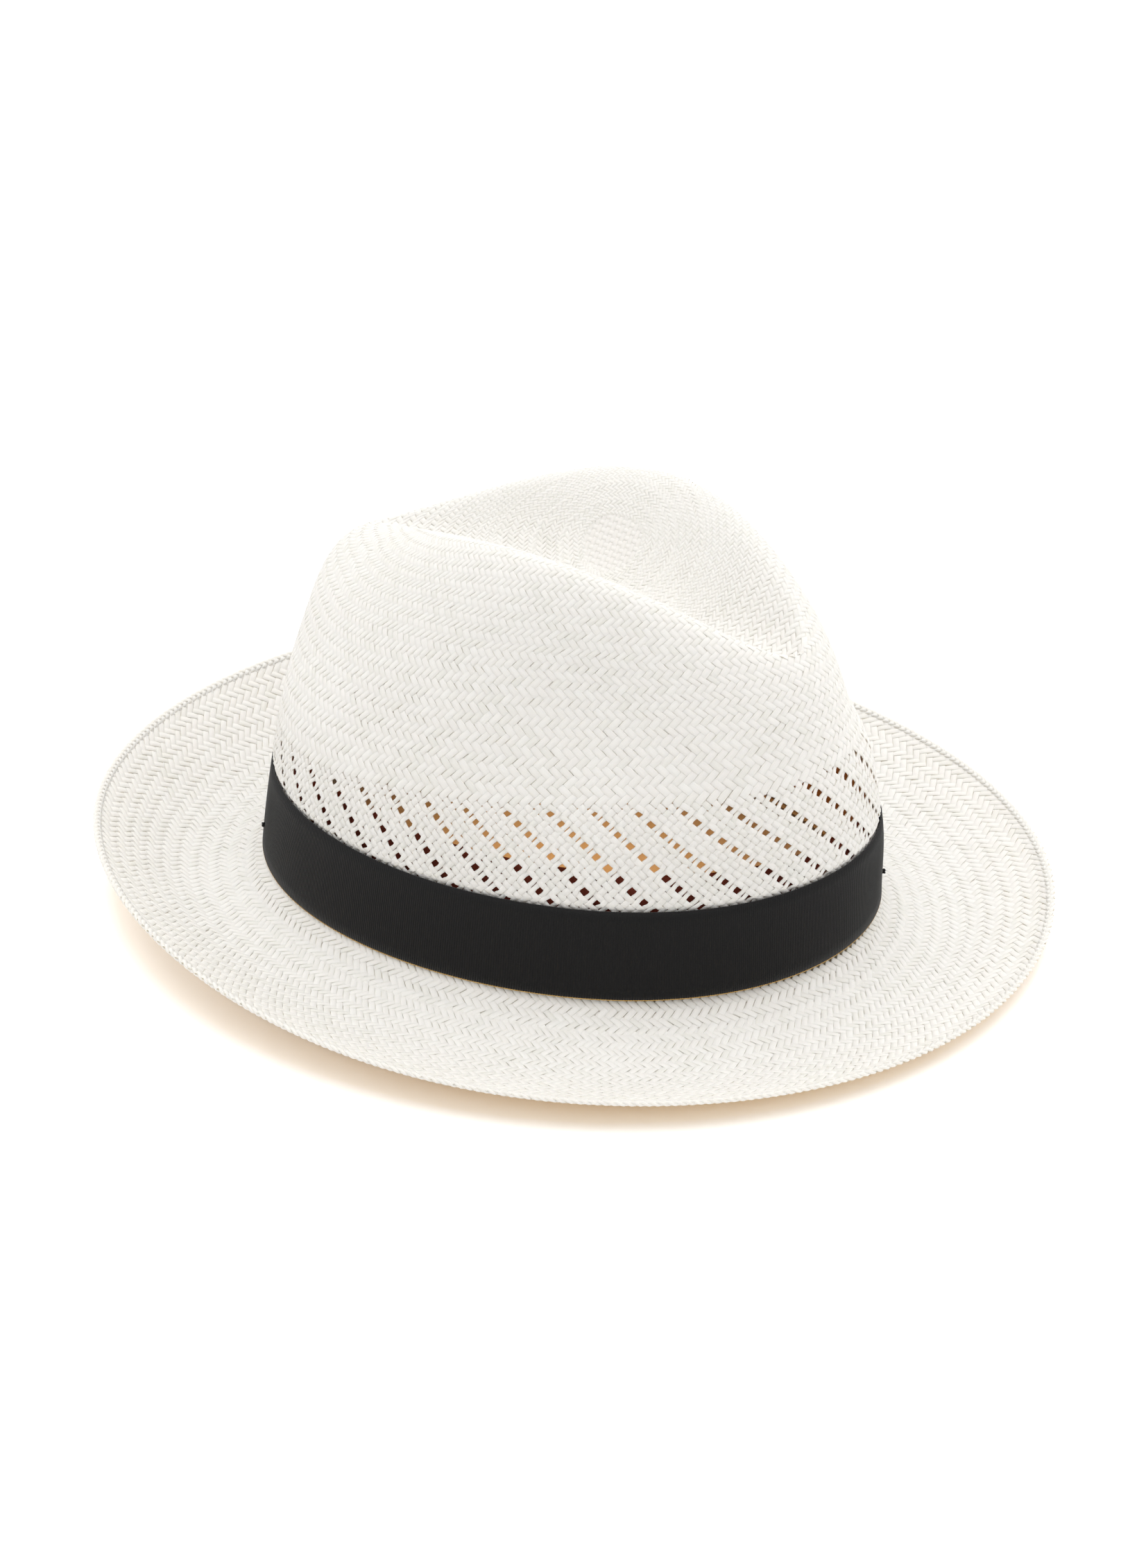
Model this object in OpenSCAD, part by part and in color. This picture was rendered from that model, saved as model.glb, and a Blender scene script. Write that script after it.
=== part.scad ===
// Woven straw fedora with a pinched teardrop crown, a ribbon band with a bow, and a leather sweatband.
// The frame sits at the centre of the head opening: -Y is the front, +X the wearer's left, +Z up.

/* [Head opening] */
// Half width of the straw at the foot of the crown
base_half_width = 83.3; // [76:0.1:92]
// Half length of the straw at the foot of the crown
base_half_length = 106.8; // [98:0.1:116]
// How much wider the head oval is behind the ears than in front
egg = 0.028; // [0:0.001:0.05]
// How far the oval fills out at its four corners
corner_fill = 0.008; // [0:0.001:0.015]

/* [Crown] */
// Inward lean of the side walls per millimetre of height
side_lean = 0.137; // [0.05:0.001:0.2]
// Inward lean of the front and back walls per millimetre of height
end_lean = 0.079; // [0.02:0.001:0.15]
// Height of the ridge at its highest point
ridge_height = 130.2; // [115:0.1:140]
// Half length of the ridge seen from above
ridge_half_length = 82.5; // [70:0.5:92]
// Half width of the ridge seen from above
ridge_half_width = 37.6; // [30:0.1:44]
// Depth of the top dent below the ridge
dent_depth = 27; // [15:0.5:34]
// Depth of the pinch on each side of the front
pinch_depth = 6; // [0:0.5:12]
// How far the wall swells out at its left front corner
swell_depth = 2.8; // [0:0.1:4]

/* [Brim] */
// Half width of the brim, seen from above
brim_half_width = 145.1; // [130:0.1:160]
// Half length of the brim, seen from above
brim_half_length = 161.2; // [145:0.1:175]
// How far the middle of the brim hangs below the foot of the crown
brim_sag = 6.5; // [3:0.1:9]
// Height of the upturned lip at the brim's edge
lip_height = 2.2; // [0:0.1:4]

/* [Straw] */
// Thickness of the woven straw
straw_thick = 1.3; // [0.9:0.1:2]
// Width of the plaited border at the brim's edge
border_width = 2.6; // [2:0.1:4]
// Thickness of the plaited border
border_thick = 2.2; // [1.6:0.1:3]

/* [Ribbon] */
// Width of the ribbon band
ribbon_width = 28.9; // [20:0.1:36]
// Thickness of the ribbon
ribbon_thick = 0.6; // [0.4:0.1:1]
// Where round the hat the bow sits, in degrees from the front towards the wearer's left
bow_angle = 82; // [60:1:100]
// Length of the bow from end to end
bow_length = 92; // [70:1:110]
// Height of the bow's loops above the ribbon
bow_puff = 5.5; // [3:0.5:8]

/* [Sweatband] */
// Height of the leather sweatband
leather_height = 42; // [30:1:48]
// Thickness of the leather
leather_thick = 0.9; // [0.6:0.1:1.4]
// Radius of the reed in the sweatband's lower edge
reed_radius = 0.8; // [0.5:0.1:1.2]

/* [Hidden] */

straw_colour = "#eceae2";
ribbon_colour = "#252322";
leather_colour = "#b37e44";
tape_colour = "#e6dcc8";
thread_colour = "#d8cdb8";
tack_colour = "#1b1a19";

// Steps round the hat, up the wall, over the top dent and across the brim
round_steps = 72;
wall_steps = 22;
dent_steps = 12;
brim_steps = 14;
strip_steps = 96;

// The wall's curve starts just above the brim's fillet, so that the seam lies under the ribbon
wall_start = 0.011;
fillet_height = 1.9;
fillet_reach = 2.4;
seam_gap = 0.25;
fit_gap = 0.3;

// The ridge: its middle along Y, and how its width and height change from the back to the front
ridge_middle = -4;
ridge_width_terms = [1, 0.222, -0.5, 0.18];
ridge_drop_terms = [0, 5.3, -32.6, -5.5, 6];
// The wall's shoulder: how high it stays upright and how far it reaches out, at the sides, back and front
upright_side = 0.5;
upright_end = 0.6;
shoulder_side = 13;
shoulder_back = 26;
shoulder_front = 12;
// The top dent: how its depth follows its width, and the place where the weave began
dent_power = 1.3;
weave_start = [17, -6];
// The pinch on each side: its middle along Y and Z, its reach and how sharply it fades at the front
pinch_y = -42;
pinch_z = 88;
pinch_reach = 30;
pinch_fade = 14;
// The wall's swell: its turn and spread in degrees, the height where it is full, and where it has faded
swell_turn = 30;
swell_spread = 30;
swell_low = 30;
swell_top = 52;
swell_end = 78;
// Above the ribbon the straw swells out to lie flush with it: how far, and from which height to which
rim_swell = 1.1;
rim_low = 34;
rim_full = 43;
// The brim's edge: how its height changes from the back to the front
edge_height_terms = [8.4, -8.5, 0.2, 0.9, -0.9];
edge_corner_fill = 0.004;
edge_egg = -0.01;
lip_start = 0.86;
// The ribbon's lower edge follows the brim
band_rise_terms = [2.4, 1.5, 0.7];
band_gap = 0.5;

// Sum of terms[i] * cos(t)^i
function power_sum(terms, c, i = 0) = i >= len(terms) ? 0 : terms[i] * pow(c, i) + power_sum(terms, c, i + 1);
// Sum of terms[i] * cos(i * t)
function wave_sum(terms, t, i = 0) = i >= len(terms) ? 0 : terms[i] * cos(i * t) + wave_sum(terms, t, i + 1);
function cubic(a, b, c, d, u) =
    a * pow(1 - u, 3) + 3 * b * u * pow(1 - u, 2) + 3 * c * u * u * (1 - u) + d * pow(u, 3);
function clamp01(v) = max(0, min(1, v));
function unit(v) = v / norm(v);
function tanh(v) = (exp(2 * v) - 1) / (exp(2 * v) + 1);
// A value that changes from the sides to the front and the back
function around(t, side, back, front) =
    side + (front - side) * pow(max(0, cos(t)), 2) + (back - side) * pow(max(0, -cos(t)), 2);

// The head oval: t runs round from the front, 90 is the wearer's left
function oval(t, half_width, half_length, egg_shape = egg, fill = corner_fill) =
    let (k = 1 + fill * (1 - cos(4 * t)))
    [half_width * sin(t) * (1 - egg_shape * cos(t)) * k, -half_length * cos(t) * k];
function leaning_oval(t, z) = oval(t, base_half_width - side_lean * z, base_half_length - end_lean * z);
function outward(t) =
    let (step = 0.5, a = oval(t - step, base_half_width, base_half_length),
         b = oval(t + step, base_half_width, base_half_length), d = unit(b - a))
    [d[1], -d[0]];

// The crown: the ridge, the wall below it and the dent inside it
// c runs from 1 at the ridge's front end to -1 at its back end
function ridge_reach(c) = sqrt(max(0, 1 - c * c)) * ridge_half_width * power_sum(ridge_width_terms, c);
function ridge_level(c) = ridge_height + power_sum(ridge_drop_terms, c);
function ridge_slope(c) = (ridge_level(c - 0.01) - ridge_level(c + 0.01)) / (0.02 * ridge_half_length);
function ridge_point(t) =
    let (c = cos(t))
    [sign(sin(t)) * ridge_reach(c), ridge_middle - ridge_half_length * c, ridge_level(c)];
function ridge_outward(t) =
    let (r = ridge_point(t), b = oval(t, base_half_width, base_half_length))
    unit([b[0] - r[0], b[1] - r[1]]);
function pinched(p) =
    let (w = exp(-pow((p[1] - pinch_y) / pinch_reach, 2) - pow((p[2] - pinch_z) / pinch_reach, 2)))
    [p[0] - pinch_depth * w * tanh(p[0] / pinch_fade), p[1], p[2]];
function smooth(v) = let (k = clamp01(v)) k * k * (3 - 2 * k);
function swell(t, z, rim) =
    let (beside = (t - swell_turn + 540) % 360 - 180,
         fade = 1 - smooth((z - swell_top) / (swell_end - swell_top)))
    (swell_depth * exp(-pow(beside / swell_spread, 2)) * smooth(z / swell_low)
     + rim * smooth((z - rim_low) / (rim_full - rim_low))) * fade;
// rim is how far the straw swells above the ribbon: 0 gives the wall that the ribbon and the lining follow
function wall_point(t, u, rim = 0) =
    let (r = ridge_point(t), out = ridge_outward(t),
         upright = r[2] * around(t, upright_side, upright_end, upright_end),
         a = oval(t, base_half_width, base_half_length), b = leaning_oval(t, upright),
         reach = around(t, shoulder_side, shoulder_back, shoulder_front),
         shoulder = r[2] + ridge_slope(cos(t)) * out[1] * reach,
         z = cubic(0, upright, shoulder, r[2], u), far = swell(t, z, rim))
    pinched([cubic(a[0], b[0], r[0] + out[0] * reach, r[0], u) + out[0] * far,
             cubic(a[1], b[1], r[1] + out[1] * reach, r[1], u) + out[1] * far, z]);
function dent_point(t, u) =
    let (r = ridge_point(t), x = r[0] + (weave_start[0] - r[0]) * u, y = r[1] + (weave_start[1] - r[1]) * u,
         c = max(-1, min(1, (ridge_middle - y) / ridge_half_length)), reach = max(1e-6, ridge_reach(c)),
         q = max(-1, min(1, x / reach)))
    pinched([x, y, ridge_level(c)
             - dent_depth * pow(reach / ridge_half_width, dent_power) * pow(1 - q * q, 2)]);
// s runs from 0 at the foot of the wall through 1 at the ridge to 2 at the middle of the dent
function crown_point(t, s) = s <= 1 ? wall_point(t, s, rim_swell) : dent_point(t, s - 1);
function crown_normal(t, s) =
    let (d = 0.004, lo = s > 1.98 ? 1.97 : max(0, s - d), hi = s > 1.98 ? 1.978 : s + d,
         around_step = crown_point(t + 0.4, min(s, 1.98)) - crown_point(t - 0.4, min(s, 1.98)),
         up_step = crown_point(t, hi) - crown_point(t, lo))
    unit(cross(around_step, up_step));

// The place on the wall at a given height, found by halving
function wall_share(t, z, low = 0, high = 0.7, turns = 14) =
    turns == 0 ? (low + high) / 2
    : let (mid = (low + high) / 2)
      wall_point(t, mid)[2] < z ? wall_share(t, z, mid, high, turns - 1)
                                : wall_share(t, z, low, mid, turns - 1);
function wall_at(t, z) = z <= 0 ? concat(leaning_oval(t, z), [z]) : wall_point(t, wall_share(t, z));

// The brim: v runs from 0 at the crown to 1 at the edge
function edge_point(t) = oval(t, brim_half_width, brim_half_length, edge_egg, edge_corner_fill);
function brim_point(t, v) =
    let (a = oval(t, base_half_width, base_half_length), b = edge_point(t), d = norm(b - a) * v,
         rise = wave_sum(edge_height_terms, t) - lip_height * (1 + cos(t)) / 2,
         lip = lip_height * (1 + cos(t)) / 2 * pow(clamp01((v - lip_start) / (1 - lip_start)), 1.5),
         sag = brim_sag * pow(sin(180 * pow(v, 0.8)), 1.3),
         fillet = fillet_height * pow(1 - min(1, d / fillet_reach), 2))
    [a[0] + (b[0] - a[0]) * v, a[1] + (b[1] - a[1]) * v, rise * pow(v, 2.2) + lip - sag + fillet];
function brim_normal(t, v) =
    let (d = 0.004, around_step = brim_point(t + 0.4, v) - brim_point(t - 0.4, v),
         out_step = brim_point(t, min(1, v + d)) - brim_point(t, max(0, v - d)))
    unit(cross(out_step, around_step));

// Points on the ribbon band: h runs up its width, off is the distance out from its outer face
function band_foot(t) = wave_sum(band_rise_terms, t);
function band_point(t, h, off) =
    let (z = band_foot(t) + h, p = wall_at(t, z), n = outward(t), far = band_gap + ribbon_thick + off)
    [p[0] + n[0] * far, p[1] + n[1] * far, z];
// Millimetres along the band for one degree at the bow
bow_degree = norm(oval(bow_angle + 0.5, base_half_width, base_half_length)
                  - oval(bow_angle - 0.5, base_half_width, base_half_length));
function bow_point(along, h, off) = band_point(bow_angle + along / bow_degree, h, off);

// Points inside the hat: in is the distance inward from the straw's outer face
function lining_point(t, z, in) =
    let (p = wall_at(t, z), n = outward(t))
    [p[0] - n[0] * in, p[1] - n[1] * in, z];

// A closed grid of rings: rows of equal length, each row closed on itself, the last row joined to the first
module ring_solid(rows) {
    count = len(rows[0]);
    last = len(rows) - 1;
    points = [for (row = rows) for (p = row) p];
    faces = [for (i = [0 : last]) for (j = [0 : count - 1])
             let (i2 = (i + 1) % (last + 1), j2 = (j + 1) % count,
                  a = i * count + j, b = i * count + j2, c = i2 * count + j2, d = i2 * count + j)
             for (f = [[a, b, c], [a, c, d]]) f];
    polyhedron(points = points, faces = faces, convexity = 8);
}

// A tube whose first and last rows are each closed by a fan of triangles
module capped_solid(rows) {
    count = len(rows[0]);
    last = len(rows) - 1;
    points = [for (row = rows) for (p = row) p];
    sides = [for (i = [0 : last - 1]) for (j = [0 : count - 1])
             let (j2 = (j + 1) % count, a = i * count + j, b = i * count + j2, c = b + count, d = a + count)
             for (f = [[a, b, c], [a, c, d]]) f];
    first_cap = [for (j = [1 : count - 2]) [0, j + 1, j]];
    last_cap = [for (j = [1 : count - 2]) [last * count, last * count + j, last * count + j + 1]];
    polyhedron(points = points, faces = concat(sides, first_cap, last_cap), convexity = 8);
}

round_angles = [for (i = [0 : round_steps - 1]) 360 * i / round_steps];
strip_angles = [for (i = [0 : strip_steps - 1]) 360 * i / strip_steps];

module straw_crown() {
    wall = [for (i = [0 : wall_steps]) wall_start + (1 - wall_start) * i / wall_steps];
    dent = [for (i = [1 : dent_steps - 1]) 1 + i / dent_steps];
    levels = concat(wall, dent);
    outer = [for (s = levels) [for (t = round_angles) crown_point(t, s)]];
    inner = [for (s = levels) [for (t = round_angles) crown_point(t, s) - straw_thick * crown_normal(t, s)]];
    rows = len(levels);
    count = round_steps;
    top_outer = crown_point(0, 2);
    top_inner = top_outer - straw_thick * crown_normal(0, 2);
    points = concat([for (row = outer) for (p = row) p], [for (row = inner) for (p = row) p],
                    [top_outer, top_inner]);
    shift = rows * count;
    outer_faces = [for (i = [0 : rows - 2]) for (j = [0 : count - 1])
                   let (j2 = (j + 1) % count, a = i * count + j, b = i * count + j2,
                        c = b + count, d = a + count)
                   for (f = [[a, c, b], [a, d, c]]) f];
    inner_faces = [for (f = outer_faces) [f[0] + shift, f[2] + shift, f[1] + shift]];
    foot_faces = [for (j = [0 : count - 1]) let (j2 = (j + 1) % count)
                  for (f = [[j, j2, j2 + shift], [j, j2 + shift, j + shift]]) f];
    last = (rows - 1) * count;
    cap_outer = [for (j = [0 : count - 1]) [last + j, 2 * shift, last + (j + 1) % count]];
    cap_inner = [for (j = [0 : count - 1]) [last + j + shift, last + (j + 1) % count + shift, 2 * shift + 1]];
    color(straw_colour)
        polyhedron(points = points, faces = concat(outer_faces, inner_faces, foot_faces, cap_outer, cap_inner),
                   convexity = 10);
}

// The woven brim stops where the plaited border begins
function brim_end(t) =
    1 - (border_width + seam_gap) / norm(edge_point(t) - oval(t, base_half_width, base_half_length));

module straw_brim() {
    levels = [for (i = [0 : brim_steps]) pow(i / brim_steps, 1.25)];
    top = [for (k = levels) [for (t = round_angles) brim_point(t, k * brim_end(t))]];
    under = [for (i = [brim_steps : -1 : 0]) [for (t = round_angles)
             brim_point(t, levels[i] * brim_end(t))
             - straw_thick * brim_normal(t, max(0.004, levels[i] * brim_end(t)))]];
    color(straw_colour) ring_solid(concat(top, under));
}

module brim_border() {
    reach = border_width * 0.5;
    section = [for (i = [0 : 7]) [reach * cos(45 * i), border_thick / 2 * sin(45 * i)]];
    color(straw_colour) ring_solid([for (q = section) [for (t = strip_angles)
        let (p = brim_point(t, 1), a = brim_point(t, 0.9), out = unit([p[0] - a[0], p[1] - a[1], 0]),
             mid = p - out * reach - [0, 0, straw_thick / 2])
        mid + out * q[0] + [0, 0, q[1]]]]);
}

module ribbon_band() {
    corners = [[0, 0], [ribbon_width, 0], [ribbon_width, -ribbon_thick], [0, -ribbon_thick]];
    color(ribbon_colour)
        ring_solid([for (c = corners) [for (t = strip_angles) band_point(t, c[0], c[1])]]);
}

// Half of the length that the bow's wrap draws in, the share of its width that is left there,
// and the share of the bow's length over which the ribbon spreads again
knot_half = 7.5;
knot_width = 0.66;
knot_spread = 0.22;
// Half of the ribbon's width at a place along the bow: drawn in at the middle, full at the loops
function bow_half(along) =
    ribbon_width / 2
    * (knot_width + (1 - knot_width) * pow(clamp01((abs(along) - knot_half) / (bow_length * knot_spread)), 0.8));
// The tail lies on the band, and the loops lie on the tail
tail_under = fit_gap;
loop_under = tail_under + ribbon_thick + fit_gap;
loop_end = bow_length / 2;
// The least space inside a loop, and how far from its end a loop starts to turn back
loop_space = 1.2;
loop_turn = ribbon_thick + loop_space / 2;
// The tail starts under the wrap and ends past the loop with a slanting cut
tail_start = 6;
tail_end = bow_length / 2 + 9;
tail_slant = 6;
tail_inset = 0.4;

module bow_tail() {
    steps = 20;
    mid = ribbon_width / 2;
    color(ribbon_colour) capped_solid([for (i = [0 : steps])
        let (low = tail_start + (tail_end - tail_start) * i / steps,
             high = tail_start + (tail_end - tail_start - tail_slant) * i / steps,
             half = mid - tail_inset, near = tail_under, far = tail_under + ribbon_thick)
        [bow_point(low, mid - half, near), bow_point(high, mid + half, near),
         bow_point(high, mid + half, far), bow_point(low, mid - half, far)]]);
}

// The loops' closed path: along the band and out from it, once round both loops
function loop_rise(along) =
    loop_under + ribbon_thick + loop_space
    + bow_puff * pow(sin(180 * pow(clamp01((abs(along) - knot_half) / (loop_end - knot_half)), 0.75)), 0.9);
module bow_loops() {
    steps = 18;
    lay = loop_under + ribbon_thick / 2;
    upper = [for (i = [-steps : steps]) let (s = (loop_end - loop_turn) * i / steps) [s, loop_rise(s)]];
    lower = [for (i = [steps : -1 : -steps]) [(loop_end - loop_turn) * i / steps, lay]];
    back_turn = [loop_end, (loop_rise(loop_end - loop_turn) + lay) / 2];
    front_turn = [-loop_end, (loop_rise(loop_end - loop_turn) + lay) / 2];
    path = concat(upper, [back_turn], lower, [front_turn]);
    count = len(path);
    rows = [for (side = [[-1, 0], [1, 0], [1, 1], [-1, 1]])
            [for (i = [0 : count - 1])
             let (p = path[i], q = path[(i + 1) % count], r = path[(i + count - 1) % count],
                  d = unit(q - r), n = [-d[1], d[0]], k = side[1] * ribbon_thick - ribbon_thick / 2,
                  h = ribbon_width / 2 + side[0] * bow_half(p[0]))
             bow_point(p[0] + n[0] * k, h, p[1] + n[1] * k)]];
    color(ribbon_colour) ring_solid(rows);
}

// The wrap: half its width, how far its ends stay inside the band's edges, and its height over the loops
wrap_half = 6.5;
wrap_inset = 1.2;
wrap_top = loop_rise(0) + ribbon_thick / 2 + 2 * fit_gap;
module bow_wrap() {
    steps = 16;
    color(ribbon_colour) capped_solid([for (i = [0 : steps])
        let (a = 180 * i / steps, h = ribbon_width / 2 - (ribbon_width / 2 - wrap_inset) * cos(a),
             low = tail_under + (wrap_top - tail_under) * pow(sin(a), 0.2), far = low + ribbon_thick)
        [bow_point(-wrap_half, h, low), bow_point(wrap_half, h, low),
         bow_point(wrap_half, h, far), bow_point(-wrap_half, h, far)]]);
}

// Knots of the thread that tacks the ribbon to the straw: their turns round the hat and their level on it
tack_turns = [26, 125, 215];
tack_level = 8;
tack_radius = 0.7;
tack_gap = 0.02;
module band_tacks() {
    color(tack_colour) for (turn = tack_turns)
        translate(band_point(turn, tack_level, tack_radius + tack_gap)) sphere(r = tack_radius, $fn = 12);
}
// One tack that holds down each loop of the bow
loop_tack_radius = 0.45;
loop_tack_inset = 5;
loop_tack_gap = 0.06;
module bow_tacks() {
    color(tack_colour) for (along = [-loop_end + loop_tack_inset, loop_end - loop_tack_inset])
        translate(bow_point(along, ribbon_width / 2,
                            loop_rise(along) + ribbon_thick / 2 + loop_tack_radius + loop_tack_gap))
            sphere(r = loop_tack_radius, $fn = 12);
}

// The leather stands in from the straw to leave room for the reed's tape; its foot is just above the brim
leather_in = straw_thick + 1.3;
leather_foot = 1;
module sweatband() {
    corners = [[leather_foot, leather_in], [leather_foot, leather_in + leather_thick],
               [leather_height / 2, leather_in + leather_thick], [leather_height, leather_in + leather_thick],
               [leather_height, leather_in], [leather_height / 2, leather_in]];
    color(leather_colour)
        ring_solid([for (c = corners) [for (t = strip_angles) lining_point(t, c[0], c[1])]]);
}

tape_thick = 0.4;
tape_low = -1;
tape_high = 8;
module reed_tape() {
    near = straw_thick + fit_gap;
    far = near + tape_thick;
    corners = [[tape_low, near], [tape_low, far], [tape_high, far], [tape_high, near]];
    color(tape_colour)
        ring_solid([for (c = corners) [for (t = strip_angles) lining_point(t, c[0], c[1])]]);
}

module sweatband_reed() {
    mid = leather_in + leather_thick / 2;
    color(tape_colour) ring_solid([for (i = [0 : 7]) [for (t = strip_angles)
        lining_point(t, -reed_radius + reed_radius * sin(-45 * i), mid - reed_radius * cos(45 * i))]]);
}

// One running thread, wavy like the row of stitches through the leather's lower edge
stitch_count = 32;
stitch_level = 4;
stitch_wave = 0.6;
thread_half = 0.2;
thread_gap = 0.25;
module sweatband_thread() {
    half = thread_half;
    mid = leather_in + leather_thick + thread_gap + half;
    steps = stitch_count * 6;
    corners = [[-half, -half], [-half, half], [half, half], [half, -half]];
    color(thread_colour) ring_solid([for (c = corners) [for (i = [0 : steps - 1])
        let (t = 360 * i / steps, level = stitch_level + stitch_wave * sin(stitch_count * t))
        lining_point(t, level + c[0], mid + c[1])]]);
}

// A small flat bow of narrow ribbon on the leather at the back: its height on the leather, its reach to each
// side in degrees, its half width at the knot and how much wider its ends are, and its least and added thickness
back_bow_level = 16;
back_bow_reach = 7;
back_bow_knot = 1.6;
back_bow_flare = 2.2;
back_bow_thick = 0.7;
back_bow_puff = 1.1;
module sweatband_bow() {
    near = leather_in + leather_thick + fit_gap;
    steps = 24;
    color(ribbon_colour) capped_solid([for (i = [0 : steps])
        let (k = 2 * i / steps - 1, t = 180 + back_bow_reach * k,
             half = back_bow_knot + back_bow_flare * pow(abs(k), 0.7),
             far = near + back_bow_thick + back_bow_puff * pow(sin(180 * abs(k)), 2),
             low = back_bow_level - half, high = back_bow_level + half)
        [lining_point(t, low, near), lining_point(t, low, far),
         lining_point(t, high, far), lining_point(t, high, near)]]);
}

straw_crown();
straw_brim();
brim_border();
ribbon_band();
bow_tail();
bow_loops();
bow_wrap();
band_tacks();
bow_tacks();
sweatband();
sweatband_reed();
reed_tape();
sweatband_thread();
sweatband_bow();
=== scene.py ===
"""A woven straw fedora: strands of bleached straw, a grosgrain ribbon with a bow, a leather sweatband."""

import math

import bpy
import numpy as np
from mathutils import Matrix, Vector


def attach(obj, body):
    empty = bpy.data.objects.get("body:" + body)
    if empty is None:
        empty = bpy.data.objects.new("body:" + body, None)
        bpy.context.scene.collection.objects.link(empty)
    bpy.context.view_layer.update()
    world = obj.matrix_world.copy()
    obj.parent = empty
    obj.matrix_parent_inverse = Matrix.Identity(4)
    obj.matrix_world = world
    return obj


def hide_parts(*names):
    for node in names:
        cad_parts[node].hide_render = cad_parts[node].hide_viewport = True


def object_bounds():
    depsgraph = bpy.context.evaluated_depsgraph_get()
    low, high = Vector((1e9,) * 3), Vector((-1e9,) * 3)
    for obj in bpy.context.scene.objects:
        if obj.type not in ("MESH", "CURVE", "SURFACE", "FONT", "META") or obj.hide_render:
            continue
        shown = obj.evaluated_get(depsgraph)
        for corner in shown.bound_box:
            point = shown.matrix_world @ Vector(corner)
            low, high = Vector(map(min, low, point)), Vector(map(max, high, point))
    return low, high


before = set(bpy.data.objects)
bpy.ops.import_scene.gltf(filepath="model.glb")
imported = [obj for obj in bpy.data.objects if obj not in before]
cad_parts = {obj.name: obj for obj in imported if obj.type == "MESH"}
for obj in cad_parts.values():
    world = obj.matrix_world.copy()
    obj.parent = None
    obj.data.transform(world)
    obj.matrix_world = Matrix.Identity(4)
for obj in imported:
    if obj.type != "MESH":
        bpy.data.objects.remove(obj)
cad_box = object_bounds()

MM = 0.001
TAU = 2 * math.pi

# The hat's form, in millimetres. Turn t is in radians: 0 is the front, a quarter turn is the wearer's left.
# The curves are the CAD part's, but the swell just above the ribbon has its own values here.

BASE_HALF_WIDTH, BASE_HALF_LENGTH = 83.3, 106.8
EGG, CORNER_FILL = 0.028, 0.008
SIDE_LEAN, END_LEAN = 0.137, 0.079

RIDGE_HEIGHT, RIDGE_HALF_LENGTH, RIDGE_HALF_WIDTH, RIDGE_MIDDLE = 130.2, 82.5, 37.6, -4.0
RIDGE_WIDTH_TERMS = (1, 0.222, -0.5, 0.18)
RIDGE_DROP_TERMS = (0, 5.3, -32.6, -5.5, 6)
UPRIGHT_SIDE, UPRIGHT_END = 0.5, 0.6
SHOULDER_SIDE, SHOULDER_BACK, SHOULDER_FRONT = 13.0, 26.0, 12.0
DENT_DEPTH, DENT_POWER = 27.0, 1.3
WEAVE_START = (17.0, -6.0)
PINCH_DEPTH, PINCH_Y, PINCH_Z, PINCH_REACH, PINCH_FADE = 6.0, -42.0, 88.0, 30.0, 14.0
SWELL_DEPTH, SWELL_TURN, SWELL_SPREAD, SWELL_LOW = 2.8, math.radians(30), math.radians(30), 30.0
RIM_SWELL_TERMS, RIM_RISE = (1.25, -0.2), 1.6
SWELL_TOP, SWELL_END = 52.0, 78.0

BRIM_HALF_WIDTH, BRIM_HALF_LENGTH = 145.1, 161.2
EDGE_EGG, EDGE_CORNER_FILL = -0.01, 0.004
EDGE_HEIGHT_TERMS = (8.4, -8.5, 0.2, 0.9, -0.9)
BRIM_SAG, LIP_HEIGHT, LIP_START = 6.5, 2.2, 0.86
FILLET_HEIGHT, FILLET_REACH = 1.9, 2.4

STRAW_THICK = 1.3
# The plaited border, and how far the weave runs under it
BORDER_WIDTH, BORDER_LAP = 2.6, 0.8

RIBBON_WIDTH, RIBBON_THICK, BAND_GAP = 28.9, 0.6, 0.5
BAND_RISE_TERMS = (2.4, 1.5, 0.7)
FIT_GAP = 0.3
BOW_TURN, BOW_LENGTH, BOW_PUFF = math.radians(82), 92.0, 5.5
KNOT_HALF, WRAP_HALF = 7.5, 6.5
TAIL_END = BOW_LENGTH / 2 + 9

LEATHER_HEIGHT, LEATHER_THICK, REED_RADIUS = 42.0, 0.9, 0.8
LEATHER_IN = STRAW_THICK + 1.3


def power_sum(terms, c):
    return sum(a * c**i for i, a in enumerate(terms))


def wave_sum(terms, t):
    return sum(a * np.cos(i * t) for i, a in enumerate(terms))


def smooth(k):
    k = np.clip(k, 0, 1)
    return k * k * (3 - 2 * k)


def unit(v):
    return v / np.maximum(np.linalg.norm(v, axis=-1, keepdims=True), 1e-9)


def around(t, side, back, front):
    c = np.cos(t)
    return side + (front - side) * np.maximum(0, c) ** 2 + (back - side) * np.maximum(0, -c) ** 2


def oval(t, half_width, half_length, egg=EGG, fill=CORNER_FILL):
    k = 1 + fill * (1 - np.cos(4 * t))
    return half_width * np.sin(t) * (1 - egg * np.cos(t)) * k, -half_length * np.cos(t) * k


def base_oval(t):
    return oval(t, BASE_HALF_WIDTH, BASE_HALF_LENGTH)


def edge_oval(t):
    return oval(t, BRIM_HALF_WIDTH, BRIM_HALF_LENGTH, EDGE_EGG, EDGE_CORNER_FILL)


def outward(t):
    step = 0.01
    ax, ay = base_oval(t - step)
    bx, by = base_oval(t + step)
    return unit(np.stack([by - ay, ax - bx, 0 * t], -1))


def ridge_reach(c):
    return np.sqrt(np.maximum(0, 1 - c * c)) * RIDGE_HALF_WIDTH * power_sum(RIDGE_WIDTH_TERMS, c)


def ridge_level(c):
    return RIDGE_HEIGHT + power_sum(RIDGE_DROP_TERMS, c)


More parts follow.
